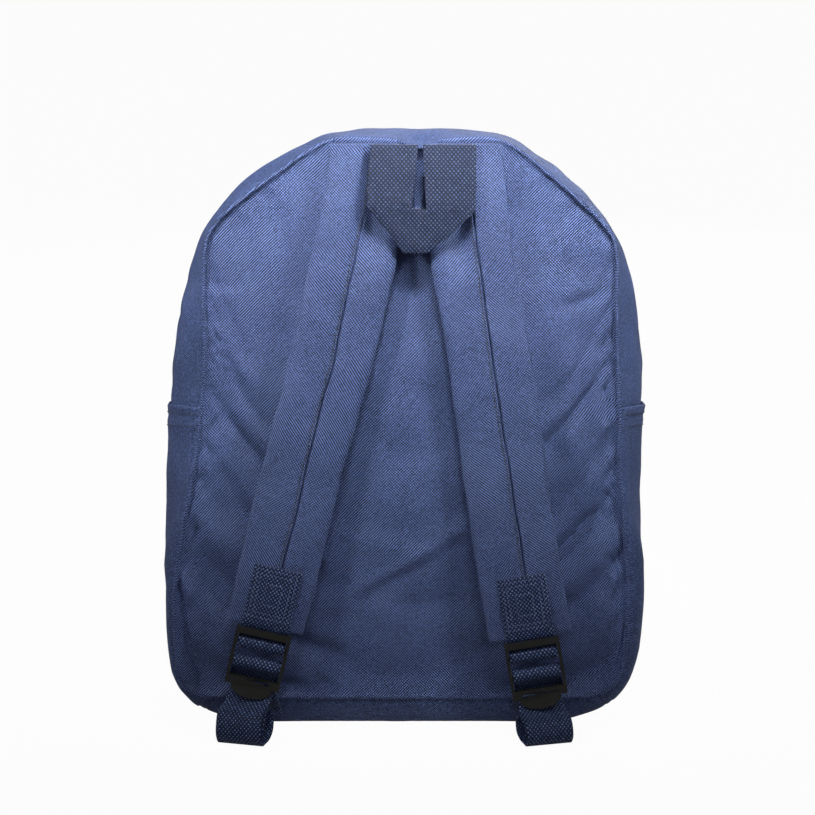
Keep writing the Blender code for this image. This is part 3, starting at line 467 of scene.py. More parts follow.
# ---- materials -------------------------------------------------------------------------
class Nodes:
    """Small helper to write shader maths."""

    def __init__(self, name):
        self.material = bpy.data.materials.new(name)
        self.material.use_nodes = True
        self.tree = self.material.node_tree
        self.bsdf = self.tree.nodes["Principled BSDF"]

    def node(self, kind, **settings):
        node = self.tree.nodes.new(kind)
        for key, value in settings.items():
            setattr(node, key, value)
        return node

    def link(self, out, socket):
        self.tree.links.new(out, socket)

    def maths(self, operation, a, b=None, c=None, clamp=False):
        node = self.node("ShaderNodeMath", operation=operation, use_clamp=clamp)
        for socket, value in zip(node.inputs, (a, b, c)):
            if value is None:
                continue
            if isinstance(value, (int, float)):
                socket.default_value = value
            else:
                self.link(value, socket)
        return node.outputs[0]

    def uv(self):
        node = self.node("ShaderNodeUVMap", uv_map="UVMap")
        split = self.node("ShaderNodeSeparateXYZ")
        self.link(node.outputs[0], split.inputs[0])
        return split.outputs[0], split.outputs[1]

    def position(self):
        return self.node("ShaderNodeTexCoord").outputs["Object"]

    def noise(self, vector, scale, detail, rough=0.5):
        node = self.node("ShaderNodeTexNoise")
        node.inputs["Scale"].default_value = scale
        node.inputs["Detail"].default_value = detail
        node.inputs["Roughness"].default_value = rough
        self.link(vector, node.inputs["Vector"])
        return node.outputs["Fac"]

    def ramp(self, fac, stops):
        node = self.node("ShaderNodeValToRGB")
        ramp = node.color_ramp
        while len(ramp.elements) < len(stops):
            ramp.elements.new(0.5)
        for element, (at_, colour) in zip(ramp.elements, stops):
            element.position = at_
            element.color = (*colour, 1.0)
        self.link(fac, node.inputs[0])
        return node.outputs[0]

    def bump(self, height, strength, distance, normal=None):
        node = self.node("ShaderNodeBump")
        node.inputs["Strength"].default_value = strength
        node.inputs["Distance"].default_value = distance
        self.link(height, node.inputs["Height"])
        if normal is not None:
            self.link(normal, node.inputs["Normal"])
        return node.outputs[0]

    def finish(self, colour=None, normal=None, **values):
        if colour is not None:
            self.link(colour, self.bsdf.inputs["Base Color"])
        if normal is not None:
            self.link(normal, self.bsdf.inputs["Normal"])
        for key, value in values.items():
            self.bsdf.inputs[key.replace("_", " ")].default_value = value
        return self.material


def wave(n, value, pitch):
    """sin of a length in metres over a pitch in metres."""
    return n.maths("SINE", n.maths("MULTIPLY", value, 2 * math.pi / pitch))


def scaled(colour, k):
    return tuple(c * k for c in colour)


CLOTH = (0.033, 0.052, 0.130)
WEB = (0.009, 0.016, 0.050)


def cloth_material(name, contrast, colour=CLOTH, pitch=0.00130):
    """Coarse woven polyester whose raised threads line up on the two diagonals, one stronger."""
    n = Nodes(name)
    u, v = n.uv()
    where = n.position()
    wander = n.noise(where, 34.0, 2.0)
    drift = n.noise(where, 260.0, 1.0)
    bend = n.maths("MULTIPLY_ADD", wander, 0.0020, n.maths("MULTIPLY", drift, 0.0002))
    rise = n.maths("ADD", n.maths("MULTIPLY", n.maths("ADD", u, v), 0.7071), bend)
    fall = n.maths("ADD", n.maths("MULTIPLY", n.maths("SUBTRACT", u, v), 0.7071), bend)
    one, two = wave(n, rise, pitch), wave(n, fall, pitch)
    share = n.maths("MULTIPLY_ADD", n.noise(where, 22.0, 1.0), 1.6, -0.45, clamp=True)
    rest = n.maths("SUBTRACT", 1.0, share)
    cross = n.maths("ADD", n.maths("MULTIPLY", one, share), n.maths("MULTIPLY", two, rest))
    slub = n.noise(where, 800.0, 1.0)
    broad = n.noise(where, 24.0, 3.0, 0.6)
    level = n.maths("MULTIPLY_ADD", cross, 0.62 * contrast, 0.5)
    level = n.maths("ADD", level, n.maths("MULTIPLY_ADD", slub, 0.90, -0.45))
    level = n.maths("ADD", level, n.maths("MULTIPLY_ADD", broad, 0.36, -0.18))
    grey = tuple(0.85 * c + 0.15 * colour[1] for c in colour)
    colour_out = n.ramp(level, [(0.0, scaled(colour, 0.12)), (0.5, scaled(colour, 0.78)),
                                (1.0, scaled(grey, 3.1))])
    normal = n.bump(cross, 0.6, 0.00022)
    soft = n.noise(where, 48.0, 3.0, 0.55)
    normal = n.bump(soft, 0.35, 0.0016, normal)
    return n.finish(colour_out, normal, Roughness=0.60, Sheen_Weight=0.06, Sheen_Roughness=0.45,
                    Sheen_Tint=(0.45, 0.55, 1.0, 1.0), Specular_IOR_Level=0.22)


def webbing_material(name, colour=WEB, painted_shade_factor=1.0):
    """Polyester webbing: rows of short raised floats, each row shifted by half; a factor below 1
    darkens the bright floats as painted shade.
    """
    n = Nodes(name)
    u, v = n.uv()
    where = n.position()
    drift = n.noise(where, 300.0, 1.0)
    u2 = n.maths("MULTIPLY_ADD", drift, 0.0004, u)
    rows = n.maths("MULTIPLY", wave(n, u2, 0.0025), wave(n, v, 0.0028))
    dots = n.maths("POWER", n.maths("MULTIPLY_ADD", rows, 0.5, 0.5, clamp=True), 2.2)
    fine = wave(n, v, 0.00070)
    slub = n.noise(where, 700.0, 1.0)
    level = n.maths("MULTIPLY_ADD", dots, 0.70, 0.12)
    level = n.maths("ADD", level, n.maths("MULTIPLY_ADD", slub, 0.55, -0.27))
    # the last two colours are scaled by the factor after the colour; below 1 that is painted shade
    colour_out = n.ramp(level, [(0.0, scaled(colour, 0.35)), (0.36, colour),
                                (0.72, scaled((0.085, 0.145, 0.330), painted_shade_factor)),
                                (1.0, scaled((0.380, 0.500, 0.740), painted_shade_factor))])
    height = n.maths("MULTIPLY_ADD", fine, 0.08, dots)
    normal = n.bump(height, 0.8, 0.00045)
    return n.finish(colour_out, normal, Roughness=0.60, Sheen_Weight=0.06, Sheen_Roughness=0.4,
                    Sheen_Tint=(0.65, 0.72, 1.0, 1.0), Specular_IOR_Level=0.22)


def thread_material(name, colour):
    n = Nodes(name)
    twist = n.noise(n.position(), 2600.0, 1.0)
    colour_out = n.ramp(twist, [(0.3, scaled(colour, 0.7)), (0.7, scaled(colour, 1.25))])
    normal = n.bump(twist, 0.4, 0.0002)
    return n.finish(colour_out, normal, Roughness=0.55, Sheen_Weight=0.1)


def plastic_material(name, colour, rough):
    n = Nodes(name)
    where = n.position()
    grain = n.noise(where, 2200.0, 2.0)
    cloud = n.noise(where, 180.0, 2.0)
    colour_out = n.ramp(cloud, [(0.3, scaled(colour, 0.85)), (0.75, scaled(colour, 1.2))])
    roughness = n.maths("MULTIPLY_ADD", grain, 0.16, rough - 0.08)
    n.link(roughness, n.bsdf.inputs["Roughness"])
    return n.finish(colour_out, n.bump(grain, 0.22, 0.00012), Specular_IOR_Level=0.5)


def metal_material(name, colour):
    n = Nodes(name)
    brushed = n.noise(n.position(), 1500.0, 3.0)
    colour_out = n.ramp(brushed, [(0.3, scaled(colour, 0.85)), (0.7, scaled(colour, 1.15))])
    roughness = n.maths("MULTIPLY_ADD", brushed, 0.15, 0.28)
    n.link(roughness, n.bsdf.inputs["Roughness"])
    return n.finish(colour_out, n.bump(brushed, 0.15, 0.0001), Metallic=0.85)


MAT = {
    "cloth": cloth_material("navy_cloth_weave", 1.25),
    "side": cloth_material("side_cloth_weave", 0.45, pitch=0.00110),
    "strap": cloth_material("strap_cloth_weave", 1.2, scaled(CLOTH, 0.92)),
    "web": webbing_material("navy_webbing"),
    # the carry loop's webbing is painted darker (base colour at 0.65, bright floats at 0.38):
    # painted shade, not a darker webbing
    "loop": webbing_material("carry_loop_webbing_painted_shade", scaled(WEB, 0.65), painted_shade_factor=0.38),
    "thread": thread_material("navy_thread", (0.0030, 0.0050, 0.016)),
    "thread_web": thread_material("webbing_thread", (0.030, 0.045, 0.115)),
    "plastic": plastic_material("dark_moulded_plastic", (0.0085, 0.0087, 0.0072), 0.36),
    "nylon": plastic_material("zip_nylon", (0.020, 0.028, 0.062), 0.5),
    "tape": cloth_material("zip_tape_weave", 0.4, (0.024, 0.034, 0.085), 0.0009),
    "metal": metal_material("slider_metal", (0.12, 0.12, 0.13)),
}


def put(obj, body, *nodes, slot=None):
    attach(obj, body)
    if nodes:
        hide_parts(*nodes)
    return obj


# ---- cloth simulation --------------------------------------------------------------------
SIM_SCALE = 10.0
SIM_FRAMES = 34
SIM_RINGS, SIM_ANGLES = 36, 160


def settled(p, solid, slack, pull, pinned):
    """Movement of a grid of points (rows x columns, closed round) after a short cloth simulation.

    The cloth is slack (a share of its length), is pulled by `pull`, is held where `pinned` is
    true and rests on the points `solid` behind it."""
    scene = bpy.context.scene
    faces = round_faces(*p.shape[:2])
    made = []
    for name, grid in (("cloth_trial", p), ("cloth_rest", solid)):
        mesh = bpy.data.meshes.new(name)
        mesh.from_pydata([tuple(q) for q in (grid * SIM_SCALE).reshape(-1, 3)], [], faces)
        obj = bpy.data.objects.new(name, mesh)
        scene.collection.objects.link(obj)
        made.append(obj)
    cloth, rest = made
    held = cloth.vertex_groups.new(name="held")
    held.add([int(i) for i in np.flatnonzero(pinned)], 1.0, "REPLACE")
    rest.modifiers.new("solid", "COLLISION")
    rest.collision.thickness_outer = 0.004
    rest.collision.cloth_friction = 12.0
    mod = cloth.modifiers.new("cloth", "CLOTH")
    how = mod.settings
    how.quality = 7
    how.mass = 0.25
    how.tension_stiffness = how.compression_stiffness = 18.0
    how.shear_stiffness = 6.0
    how.bending_stiffness = 0.35
    how.air_damping = 2.5
    how.vertex_group_mass = "held"
    how.shrink_min = -slack
    mod.collision_settings.distance_min = 0.004
    mod.point_cache.frame_start, mod.point_cache.frame_end = 1, SIM_FRAMES
    gravity = tuple(scene.gravity)
    scene.gravity = pull
    for frame in range(1, SIM_FRAMES + 1):
        scene.frame_set(frame)
    done = cloth.evaluated_get(bpy.context.evaluated_depsgraph_get()).to_mesh()
    found = np.empty(p.size)
    done.vertices.foreach_get("co", found)
    scene.gravity = gravity
    scene.frame_set(1)
    for obj in made:
        mesh = obj.data
        bpy.data.objects.remove(obj)
        bpy.data.meshes.remove(mesh)
    return found.reshape(p.shape) / SIM_SCALE - p


def resampled(values, where, axis, closed=False):
    """Values of a grid at fractional places along an axis, by Catmull-Rom."""
    values = np.moveaxis(values, axis, 0)
    count = len(values)
    where = np.asarray(where, float)
    low = np.floor(where).astype(int)
    t = (where - low).reshape((-1,) + (1,) * (values.ndim - 1))

    def pick(k):
        return values[(low + k) % count] if closed else values[np.clip(low + k, 0, count - 1)]

    a, b, c, d = pick(-1), pick(0), pick(1), pick(2)
    out = b + 0.5 * t * (c - a + t * (2 * a - 5 * b + 4 * c - d + t * (3 * (b - c) + d - a)))
    return np.moveaxis(out, 0, axis)


# ---- back panel ------------------------------------------------------------------------
# Folds in millimetres: a line of (x, z) points, width, depth and the height of the lip.
BACK_FOLDS = [
    # left edge: long soft folds running up beside the seam, short ones where the arch begins
    ([(-128, 292), (-116, 286), (-100, 288)], 3, 1.4, 1.2),
    ([(-124, 270), (-112, 262), (-103, 246)], 4, 1.2, 1),
    ([(-119, 250), (-117, 215), (-121, 180)], 6, 1.8, 1.4),
    ([(-108, 225), (-110, 170), (-122, 120)], 8.5, 1.6, 1.2),
    ([(-134, 120), (-132, 90), (-138, 60)], 5, 1.4, 1.2),
    ([(-130, 60), (-125, 40), (-132, 26)], 5, 1.2, 1),
    # right edge
    ([(88, 276), (108, 280), (127, 287)], 2.6, 1.7, -1.2),
    ([(62, 196), (78, 214), (100, 232)], 4.5, 1.4, -1),
    ([(128, 262), (117, 240), (122, 212)], 4.5, 1.8, 1.5),
    ([(110, 245), (106, 215), (112, 180)], 7, 1.4, 1.2),
    ([(128, 190), (122, 165), (128, 135)], 5.5, 1.4, 1.2),
    ([(134, 118), (124, 104), (121, 88)], 4, 1.4, 1.2),
    ([(134, 60), (128, 42), (118, 30)], 6, 1.2, 1),
    # creases where the corners fold under, and a long soft one across the middle
    ([(-144, 96), (-139.5, 58), (-129, 26)], 2.4, 4.6, 1.6),
    ([(139, 75), (135, 45), (123, 26)], 2, 2.4, 1.2),
    ([(-48, 84), (0, 112), (46, 142)], 4.6, -2.1, -0.8),
    ([(128, 236), (121, 214), (126, 196)], 3, 2.4, 1.2),
    # drawn-down cloth above the buckles
    ([(-20, 120), (0, 75), (2, 30)], 16, 1.4, 0),
]


def crease(x, z, points, width, depth, lift):
    """A soft fold, given in millimetres: a groove along a line, with a raised lip on one side."""
    line = even(smooth(mm(points)), 0.004)
    (width, depth, lift), = mm([(width, depth, lift)])
    best = np.full(np.shape(x), 1e9)
    sign = np.zeros(np.shape(x))
    fade = np.zeros(np.shape(x))
    strength = np.sin(math.pi * np.clip(np.linspace(0, 1, len(line)), 0.04, 0.96)) ** 0.6
    along = np.gradient(line, axis=0)
    along /= np.linalg.norm(along, axis=1)[:, None]
    for (px, pz), (ax, az), share in zip(line, along, strength):
        dx, dz = x - px, z - pz
        d = dx * dx + dz * dz
        near = d < best
        best = np.where(near, d, best)
        sign = np.where(near, dx * az - dz * ax, sign)
        fade = np.where(near, share, fade)
    dist = np.sqrt(best)
    lip_at = 1.4 * width
    lip = bump01(sign, lip_at, 1.2 * width) * bump01(dist, lip_at, 1.6 * width)
    return fade * (depth * bump01(dist, 0.0, width) - lift * lip)


def back_dome(k):
    """y of the padded back, at a share k of the way from its middle to its seam."""
    return BACK_Y - FABRIC - 0.0055 * (1 - k ** 3)


def back_surface(x, z):
    """y of the back panel's cloth; smaller y stands further out."""
    rho, angle = polar(x, z)
    rim = reach("back", angle)
    edge = np.maximum(rim - rho, 0.0)

    def from_rim(length):
        return np.clip(edge / length, 0, 1)

    y = back_dome(np.minimum(1.0, rho / rim)) + 0.0010 * bump01(edge, 0.0, 0.0008, 1.3)
    pucker = ripple(np.radians(angle) * 0.16, edge * 0.35, 0.013, 5, 10)
    y = y - 0.0008 * pucker * np.exp(-edge / 0.009) * from_rim(0.0015)
    y = y - 0.0016 * ripple(x, z, 0.110, 11, 9) * from_rim(0.03)
    y = y - 0.0006 * ripple(x, z, 0.045, 23, 12) * from_rim(0.02)
    # hollows behind the carry loop: one in its slit, one beside each of its edges
    y = y + 0.0090 * bump01(x, 0.0075, 0.0100, 4) * step01(z, 0.324, 0.338)
    tall = step01(z, 0.298, 0.328) * (1 - step01(z, 0.354, 0.371))
    for middle in (-0.026 - 0.27 * (0.3625 - z), 0.043 + 0.22 * (0.3625 - z)):
        y = y + 0.0065 * tall * bump01(x, middle, 0.0085)
    for fold in BACK_FOLDS:
        y = y + crease(x, z, *fold) * from_rim(0.004)
    return y


def panel_settling(ang, shares):
    """Movement of the back panel's cloth, sewn down round its rim, slack and hanging on its pad."""
    turn = np.linspace(-90, 270, SIM_ANGLES + 1)[:-1]
    ring = np.linspace(0.04, 1.0, SIM_RINGS)
    rim = reach("back", turn)
    p = np.array([at(turn, rim * k, back_dome(k)) for k in ring])
    p[..., 1] += 0.0004 * ripple(p[..., 0], p[..., 2], 0.030, 71, 14)
    rest = p + np.array([0.0, 0.0022, 0.0])
    pinned = np.zeros(p.shape[:2], bool)
    pinned[-1] = True
    moved = settled(p, rest, 0.027, (0.0, -4.0, -9.8), pinned)
    moved *= (0.25 + 0.75 * step01(np.abs(p[..., 0] - 0.004), 0.030, 0.095))[..., None]
    moved = resampled(moved, (shares - ring[0]) / (ring[1] - ring[0]), 0)
    moved = resampled(moved, (ang + 90) / 360 * SIM_ANGLES, 1, True)
    y, most = moved[..., 1], 0.0020
    moved[..., 1] = np.where(y < 0, -most * np.tanh(-y / most), y)
    return moved


def panel_shares(first, count, rim_count):
    """Shares of the way out to a panel's rim, closer together near it."""
    return np.concatenate([np.linspace(first, 0.86, count),
                           1 - np.linspace(0.13, 0.0, rim_count) ** 1.15])


def panel_rings(ang, rim, shares, surface):
    """Rings of points on a panel's outer face."""
    p = at(ang, rim * shares[:, None], 0.0)
    p[..., 1] = surface(p[..., 0], p[..., 2])
    return p


def make_back_panel():
    ang = spread(-90, 270, 521)[:-1]
    shares = panel_shares(0.02, 62, 34)
    rim = reach("back", ang)
    outer = crown(panel_rings(ang, rim, shares, back_surface)) + panel_settling(ang, shares)
    k = np.array([0.985, 0.93, 0.75, 0.45, 0.15])[:, None]
    inner = crown(at(ang, rim * k, back_dome(k) + PAD_T * np.minimum(1.0, 0.45 + (1 - k) * 8)))
    front = np.array([ARCH_X, float(back_surface(ARCH_X, ARCH_Z)), ARCH_Z])
    verts, faces = panel_solid(np.concatenate([outer, inner]), front, front + [0, PAD_T, 0])
    uvs = np.array(verts)[:, (0, 2)]
    # the cloth that rolls over the rim keeps its weave
    long, seen = (np.linalg.norm(np.diff(p, axis=0), axis=2) for p in (outer, outer[..., (0, 2)]))
    extra = np.vstack([np.zeros(len(ang)), np.cumsum(long - seen, axis=0)]).reshape(-1, 1)
    turn = np.tile(np.radians(ang), len(outer))
    uvs[:len(extra)] += extra * np.column_stack([np.cos(turn), np.sin(turn)])
    obj = new_object("back_panel_pad", verts, faces, uvs, MAT["cloth"])
    put(obj, "bag", "back_panel", "back_foam", "back_lining", slot="navy_cloth")


# ---- gussets ---------------------------------------------------------------------------
def gusset_grid(ang, lo, hi, rows, seed, rise=0.0):
    """Outer points of a stretch of the gusset loop, with its seam rolls and wrinkles."""
    lo, hi = (np.broadcast_to(v, ang.shape)[:, None] for v in (lo, hi))
    y = lo + (hi - lo) * (0.5 - 0.5 * np.cos(np.linspace(0, math.pi, rows)))
    far = np.linspace(0, 1, len(ang))[:, None] ** 2
    a = ang[:, None] + rise * far * (1 - step01(y, BACK_Y + 0.004, 0.030))
    p = body_point(a, y)
    n = outward(p)
    s = np.radians(a) * 0.165
    seam = np.maximum(np.minimum(y - BACK_Y, FRONT_Y - y), 0.0)
    up = np.clip((p[..., 2] - 0.004) / 0.012, 0, 1)
    d = 0.0005 * ripple(s, y * 0.8, 0.030, seed, 12) * np.clip(seam / 0.012, 0, 1)
    d = d + 0.0005 * ripple(s, y * 0.3, 0.070, seed + 1, 9) * np.clip(seam / 0.010, 0, 1)
    d = d + 0.0003 * ripple(s, y * 0.3, 0.012, seed + 2, 10) * np.exp(-seam / 0.008)
    d = d - 0.0008 * bump01(seam, 0.0, 0.0008, 1.6)
    return p + n * (d * up)[..., None], n, y


def loop_uv(p):
    """Lengths along a grid both ways, and its two whole lengths."""
    u = np.cumsum([0, *np.linalg.norm(np.diff(p, axis=0), axis=2).mean(axis=1)])
    v = np.cumsum([0, *np.linalg.norm(np.diff(p, axis=1), axis=2).mean(axis=0)])
    return np.stack(np.meshgrid(u, v, indexing="ij"), -1), u[-1], v[-1]


def tuck(ang):
    """0 above the zip's ends, 1 well below them, where the two gusset cloths meet."""
    turn = wrap180(ang)
    low = np.where(turn < 0, np.minimum(-turn, 180 + turn), 0.0)
    return np.clip(low / 5.0, 0, 1) ** 0.7


def gusset_cloth(name, *stretch):
    p = gusset_grid(*stretch)[0]
    uv, length, width = loop_uv(p)
    obj = cloth_sheet(name, p, uv, SHEET_T, MAT["side"], 0.3)
    return obj, round(length, 3), round(width, 3)


def bend_with_mouth(obj):
    """Bakes the cloth's placement into its points."""
    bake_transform(obj)


def make_gussets():
    rear_seam, front_seam = BACK_Y - 0.0008, FRONT_Y - 0.0004
    ang = spread(-57.9, 237.9, 620)
    meeting = tuck(ang) * 0.0068
    rear, length, width = gusset_cloth("gusset_rear_cloth", ang, rear_seam, 0.0048 + meeting,
                                       40, 31)
    put(rear, "bag", "side_gusset_left", "side_gusset_right", "top_gusset_rear", slot="navy_cloth")
    fore, length, width = gusset_cloth("gusset_front_cloth", ang, 0.0192 - meeting, front_seam,
                                       28, 47)
    bend_with_mouth(fore)
    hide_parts("top_gusset_front")
    ang = spread(-122.1, -57.9, 240)
    base, length, width = gusset_cloth("base_cloth", ang, rear_seam, front_seam, 90, 59)
    put(base, "bag", "base_panel", slot="navy_cloth")


def make_side_pockets():
    hem = math.degrees(math.atan2(POCKET_TOP - ARCH_Z, 0.152))
    low = spread(-56.8, hem, 150)
    for side, ang, seed, rise in (("right", low, 71, 4.3), ("left", 180 - low, 83, -4.3)):
        p, n, y = gusset_grid(ang, BACK_Y - 0.0006, FRONT_Y - 0.0008, 64, seed, rise)
        foot = np.clip(np.arange(len(ang)) / len(ang) / 0.10, 0, 1)[:, None] ** 0.6
        seams = np.clip(np.minimum(y - BACK_Y + 0.0010, FRONT_Y - y + 0.0010) / 0.004, 0, 1)
        p = p + n * (0.0004 + 0.0014 * foot * (0.4 + 0.6 * seams))[..., None]
        steps = np.linalg.norm(np.diff(p[::-1], axis=0), axis=2).mean(axis=1)
        from_hem = np.append(np.cumsum(steps)[::-1], 0.0)
        down = from_hem[:, None]
        fold = 0.0007 * bump01(down, 0.0005, 0.0022) - 0.0006 * bump01(down, 0.0072, 0.0016)
        sway = 0.0010 * ripple(y, down, 0.050, 91, 8) * np.exp(-down / 0.03)
        p = p + n * (fold + sway)[..., None]
        uv, length, width = loop_uv(p)
        obj = cloth_sheet(f"side_pocket_cloth_{side}", p, uv, SHEET_T, MAT["side"], 0.5)
        put(obj, "bag", f"side_pocket_{side}", slot="navy_cloth")
        for tag, depth in (("upper", 0.0052), ("lower", 0.0125)):
            row = int(np.argmin(np.abs(from_hem - depth)))
            put(stitches(f"pocket_hem_stitches_{tag}_{side}", p[row], n[row]), "bag")


# ---- straps ----------------------------------------------------------------------------
# Places on a strap's cover beside its lapped seam, shares of its half width where it rounds the
# edge, and the number of points across its back.
BESIDE_SEAM = np.array([-2.6, -2.1, -1.7, -1.3, -0.95, -0.7, -0.5, -0.34, -0.2, -0.08, 0.0, 0.1,
                        0.22, 0.36, 0.52, 0.75, 1.1, 1.6, 2.3]) * 0.001
ROUNDING = np.array([1.0, 0.999, 0.994, 0.983, 0.965])
BACK_POINTS = 24
STITCHES_AT = 0.0017


def strap_rows(side, z):
    """Middle, y, half width and half thickness of a strap at a height."""
    heights, middles, widths = smooth(STRAPS[side][::-1], 8).T
    levels, ys, halves = smooth(STRAP_Y[::-1], 8).T
    return (np.interp(z, heights, middles), np.interp(z, levels, ys),
            np.interp(z, heights, widths) / 2, np.interp(z, levels, halves))


def strap_axes(side):
    """Down along the strap's end, across it and away from the bag."""
    (z0, x0, _), (z1, x1, _) = STRAPS[side][-3], STRAPS[side][-1]
    down = np.array([x1 - x0, 0, z1 - z0])
    down /= np.linalg.norm(down)
    return down, np.array([-down[2], 0, down[0]]), np.array([0, -1.0, 0])


def seam_share(side, z):
    """Where the lapped seam lies across the strap, from -1 to 1."""
    x, _, half, _ = strap_rows(side, z)
    seam_x = np.interp(z, *np.array(STITCH_LINE[side][::-1]).T)
    return float(np.clip((seam_x - x) / half, -0.6, 0.6))


def bend_with_strap(obj):
    """Bakes the cloth's placement into its points."""
    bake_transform(obj)


def make_strap(side):
    low, closing = STRAPS[side][-1][0], 0.0038
    _, slanted, out = strap_axes(side)
    inward, seed = (1, 101) if side == "left" else (-1, 131)
    zs = np.concatenate([np.linspace(0.3745, low + 0.004, 330),
                         low + closing * np.linspace(1, 0, 9)[1:] ** 1.5])
    x, y, halves, thicks = strap_rows(side, zs)
    middles = np.column_stack([x, y, zs])
    rings, uvs, seam_line = [], [], []
    for c, half, thick, length in zip(middles, halves, thicks, lengths_along(middles)):
        z = c[2]
        turn = min(1.0, max(0.0, (0.285 - z) / 0.080))
        across = slanted * turn + np.array([1.0, 0, 0]) * (1 - turn)
        end = min(1.0, max(0.0, (z - low) / closing))
        close = 0.80 + 0.20 * math.sqrt(1 - (1 - end) ** 2)
        share = seam_share(side, z)
        lap = share + BESIDE_SEAM[::-1] / half
        share_u = np.concatenate([
            ROUNDING, np.linspace(0.94, lap[0], 20)[:-1], lap, np.linspace(lap[-1], -0.94, 20)[1:],
            -ROUNDING[::-1], -np.linspace(0.96, -0.96, BACK_POINTS)])
        front = np.arange(len(share_u)) < len(share_u) - BACK_POINTS
        share_v = np.maximum(0.02, 1 - np.abs(share_u) ** 5.5) ** 0.31 * np.where(front, 1, -1)
        u = share_u * (half - 0.0002)
        # foam fullness: a slightly crowned face, edges drawn in by the wrap of the cloth
        v = share_v * thick * close * (1 - 0.16 * np.abs(share_u) ** 4)
        # the lap: one side of the cloth lies over the other and is stitched down
        off = (share_u - share) * half
        step = 0.0004 / (1 + np.exp(off / 0.00012))
        dip = 0.0021 * bump01(off, 0.00030, 0.00050) + 0.0004 * bump01(off, -STITCHES_AT, 0.0011)
        v = v + front * (step - 0.0003 - dip)
        # drawn in and pleated under the carry loop
        valley = (bump01(share_u * inward, 0.30, 0.34) * step01(z, 0.286, 0.326)
                  * (1 - step01(z, 0.360, 0.373)))
        pleats = ripple(u, 0, 0.0085, seed + 7, 6) * step01(z, 0.325, 0.368)
        v = np.where(front, v * (1 - 0.86 * valley) + 0.0008 * pleats, v) - 0.0042 * valley
        waves = (0.00050 * ripple(u, length, 0.030, seed, 10)
                 + 0.00016 * ripple(u * 1.4, length, 0.011, seed + 1, 9))
        v = v + np.sign(share_v) * waves * np.abs(share_v)
        u = u + 0.0005 * ripple(0, length, 0.050, seed + 3, 6) * np.sign(share_u)
        ring = c + across * u[:, None] + out * v[:, None]
        rings.append(ring)
        uvs.append(np.column_stack([-lengths_along(ring), np.full(len(ring), length)]))
        seam_line.append(ring[np.argmin(np.where(front, np.abs(off + STITCHES_AT), 9))])
    obj = new_object(f"strap_pad_{side}", np.vstack(rings), tube_faces(len(zs), len(ring)),
                     np.vstack(uvs), MAT["strap"])
    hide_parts(f"strap_head_{side}", f"strap_head_foam_{side}", f"strap_cover_{side}",
                f"strap_foam_{side}")
    bend_with_strap(obj)
    line = np.array(seam_line)
    line = line[line[:, 2] > low + 0.030]
    thread = stitches(f"strap_seam_stitches_{side}", line, (0, -1, 0), pitch=0.0031,
                      radius=0.00040)
    bend_with_strap(thread)


# ---- buckles and webbing ----------------------------------------------------------------
BAR_A, BAR_B, BAR_W, BAR_R = 0.0125, 0.0240, 0.0046, 0.0017
WEB_TURN = BAR_R + 0.0003 + WEB_T / 2
# The rolled end of an adjuster's webbing: y, height.
ROLL = mm([
    (-83.6, 27), (-87.2, 24), (-92.5, 21.2), (-96, 15), (-96.8, 7.5), (-93.5, 2), (-87, 1.3),
    (-79.5, 1.5), (-73.8, 4.5), (-71.5, 10.5), (-72.2, 16.5), (-76, 20.3), (-81.5, 20.5),
    (-86.5, 18), (-90, 13), (-90.8, 8.5),
])
ROLL_SHIFT = {"left": -0.0035, "right": 0.0020}
ROLL_YAW = {"left": -15.0, "right": 15.0}


def lock_frame(side):
    """The buckle's frame on the end of its strap, and the width direction of its webbing."""
    low = STRAPS[side][-1][0]
    down, _, out = strap_axes(side)
    x, y, _, _ = strap_rows(side, low)
    across = np.cross(out, -down)
    columns = (*across, 0), (*out, 0), (*-down, 0), (x, y, low, 1)
    return Matrix(columns).transposed(), across


def local_line(matrix, points):
    return [tuple(matrix @ Vector((0, w, -v))) for v, w in points]


def around(centre, radius, start, stop, steps):
    turn = np.radians(np.linspace(start, stop, steps + 1))
    return list(zip(centre[0] + radius * np.sin(turn), centre[1] + radius * np.cos(turn)))


def rectangle(half, low, high):
    return [(-half, low), (half, low), (half, high), (-half, high), (-half, low)]


def make_tab(side):
    m, across = lock_frame(side)
    face = 0.005 + 0.0003 + WEB_T / 2
    line = [(v, face) for v in (-0.040, -0.030, -0.020, -0.010, -0.004)]
    line += [(-0.0002, face - 0.0005), (0.0020, 0.0044), (0.0040, 0.0034), (0.0056, 0.0034),
             (0.0072, 0.0056)]
    line += around((BAR_A - 0.0018, BAR_W + 0.0004), WEB_TURN + 0.0014, -50, 190, 8)
    line += [(0.0065, 0.0000), (0.0050, -0.0012), (0.0016, -0.0045), (-0.0015, -face),
             (-0.012, -face), (-0.024, -face)]
    obj, length = ribbon(f"strap_tab_web_{side}", local_line(m, line), across)
    put(obj, f"strap_{side}", f"strap_tab_{side}", slot="navy_webbing")
    inner = rectangle(0.0100, -0.0345, -0.0095)
    core = [(u * 0.52, (v + 0.022) * 0.55 - 0.022) for u, v in inner]
    boxes = ("outer", rectangle(0.0125, -0.0375, -0.0065)), ("inner", inner), ("core", core)
    for tag, corners in boxes:
        path = [np.add(a, np.subtract(b, a) * k / 12)
                for a, b in zip(corners, corners[1:]) for k in range(12)]
        path.append(corners[-1])
        on_web = [tuple(m @ Vector((u, face + WEB_T / 2, -v))) for u, v in path]
        thread = stitches(f"tab_box_stitches_{tag}_{side}", on_web, (0, -1, 0), "thread_web",
                          0.0030, 0.0024, 0.00036, -0.00002)
        put(thread, f"strap_{side}")


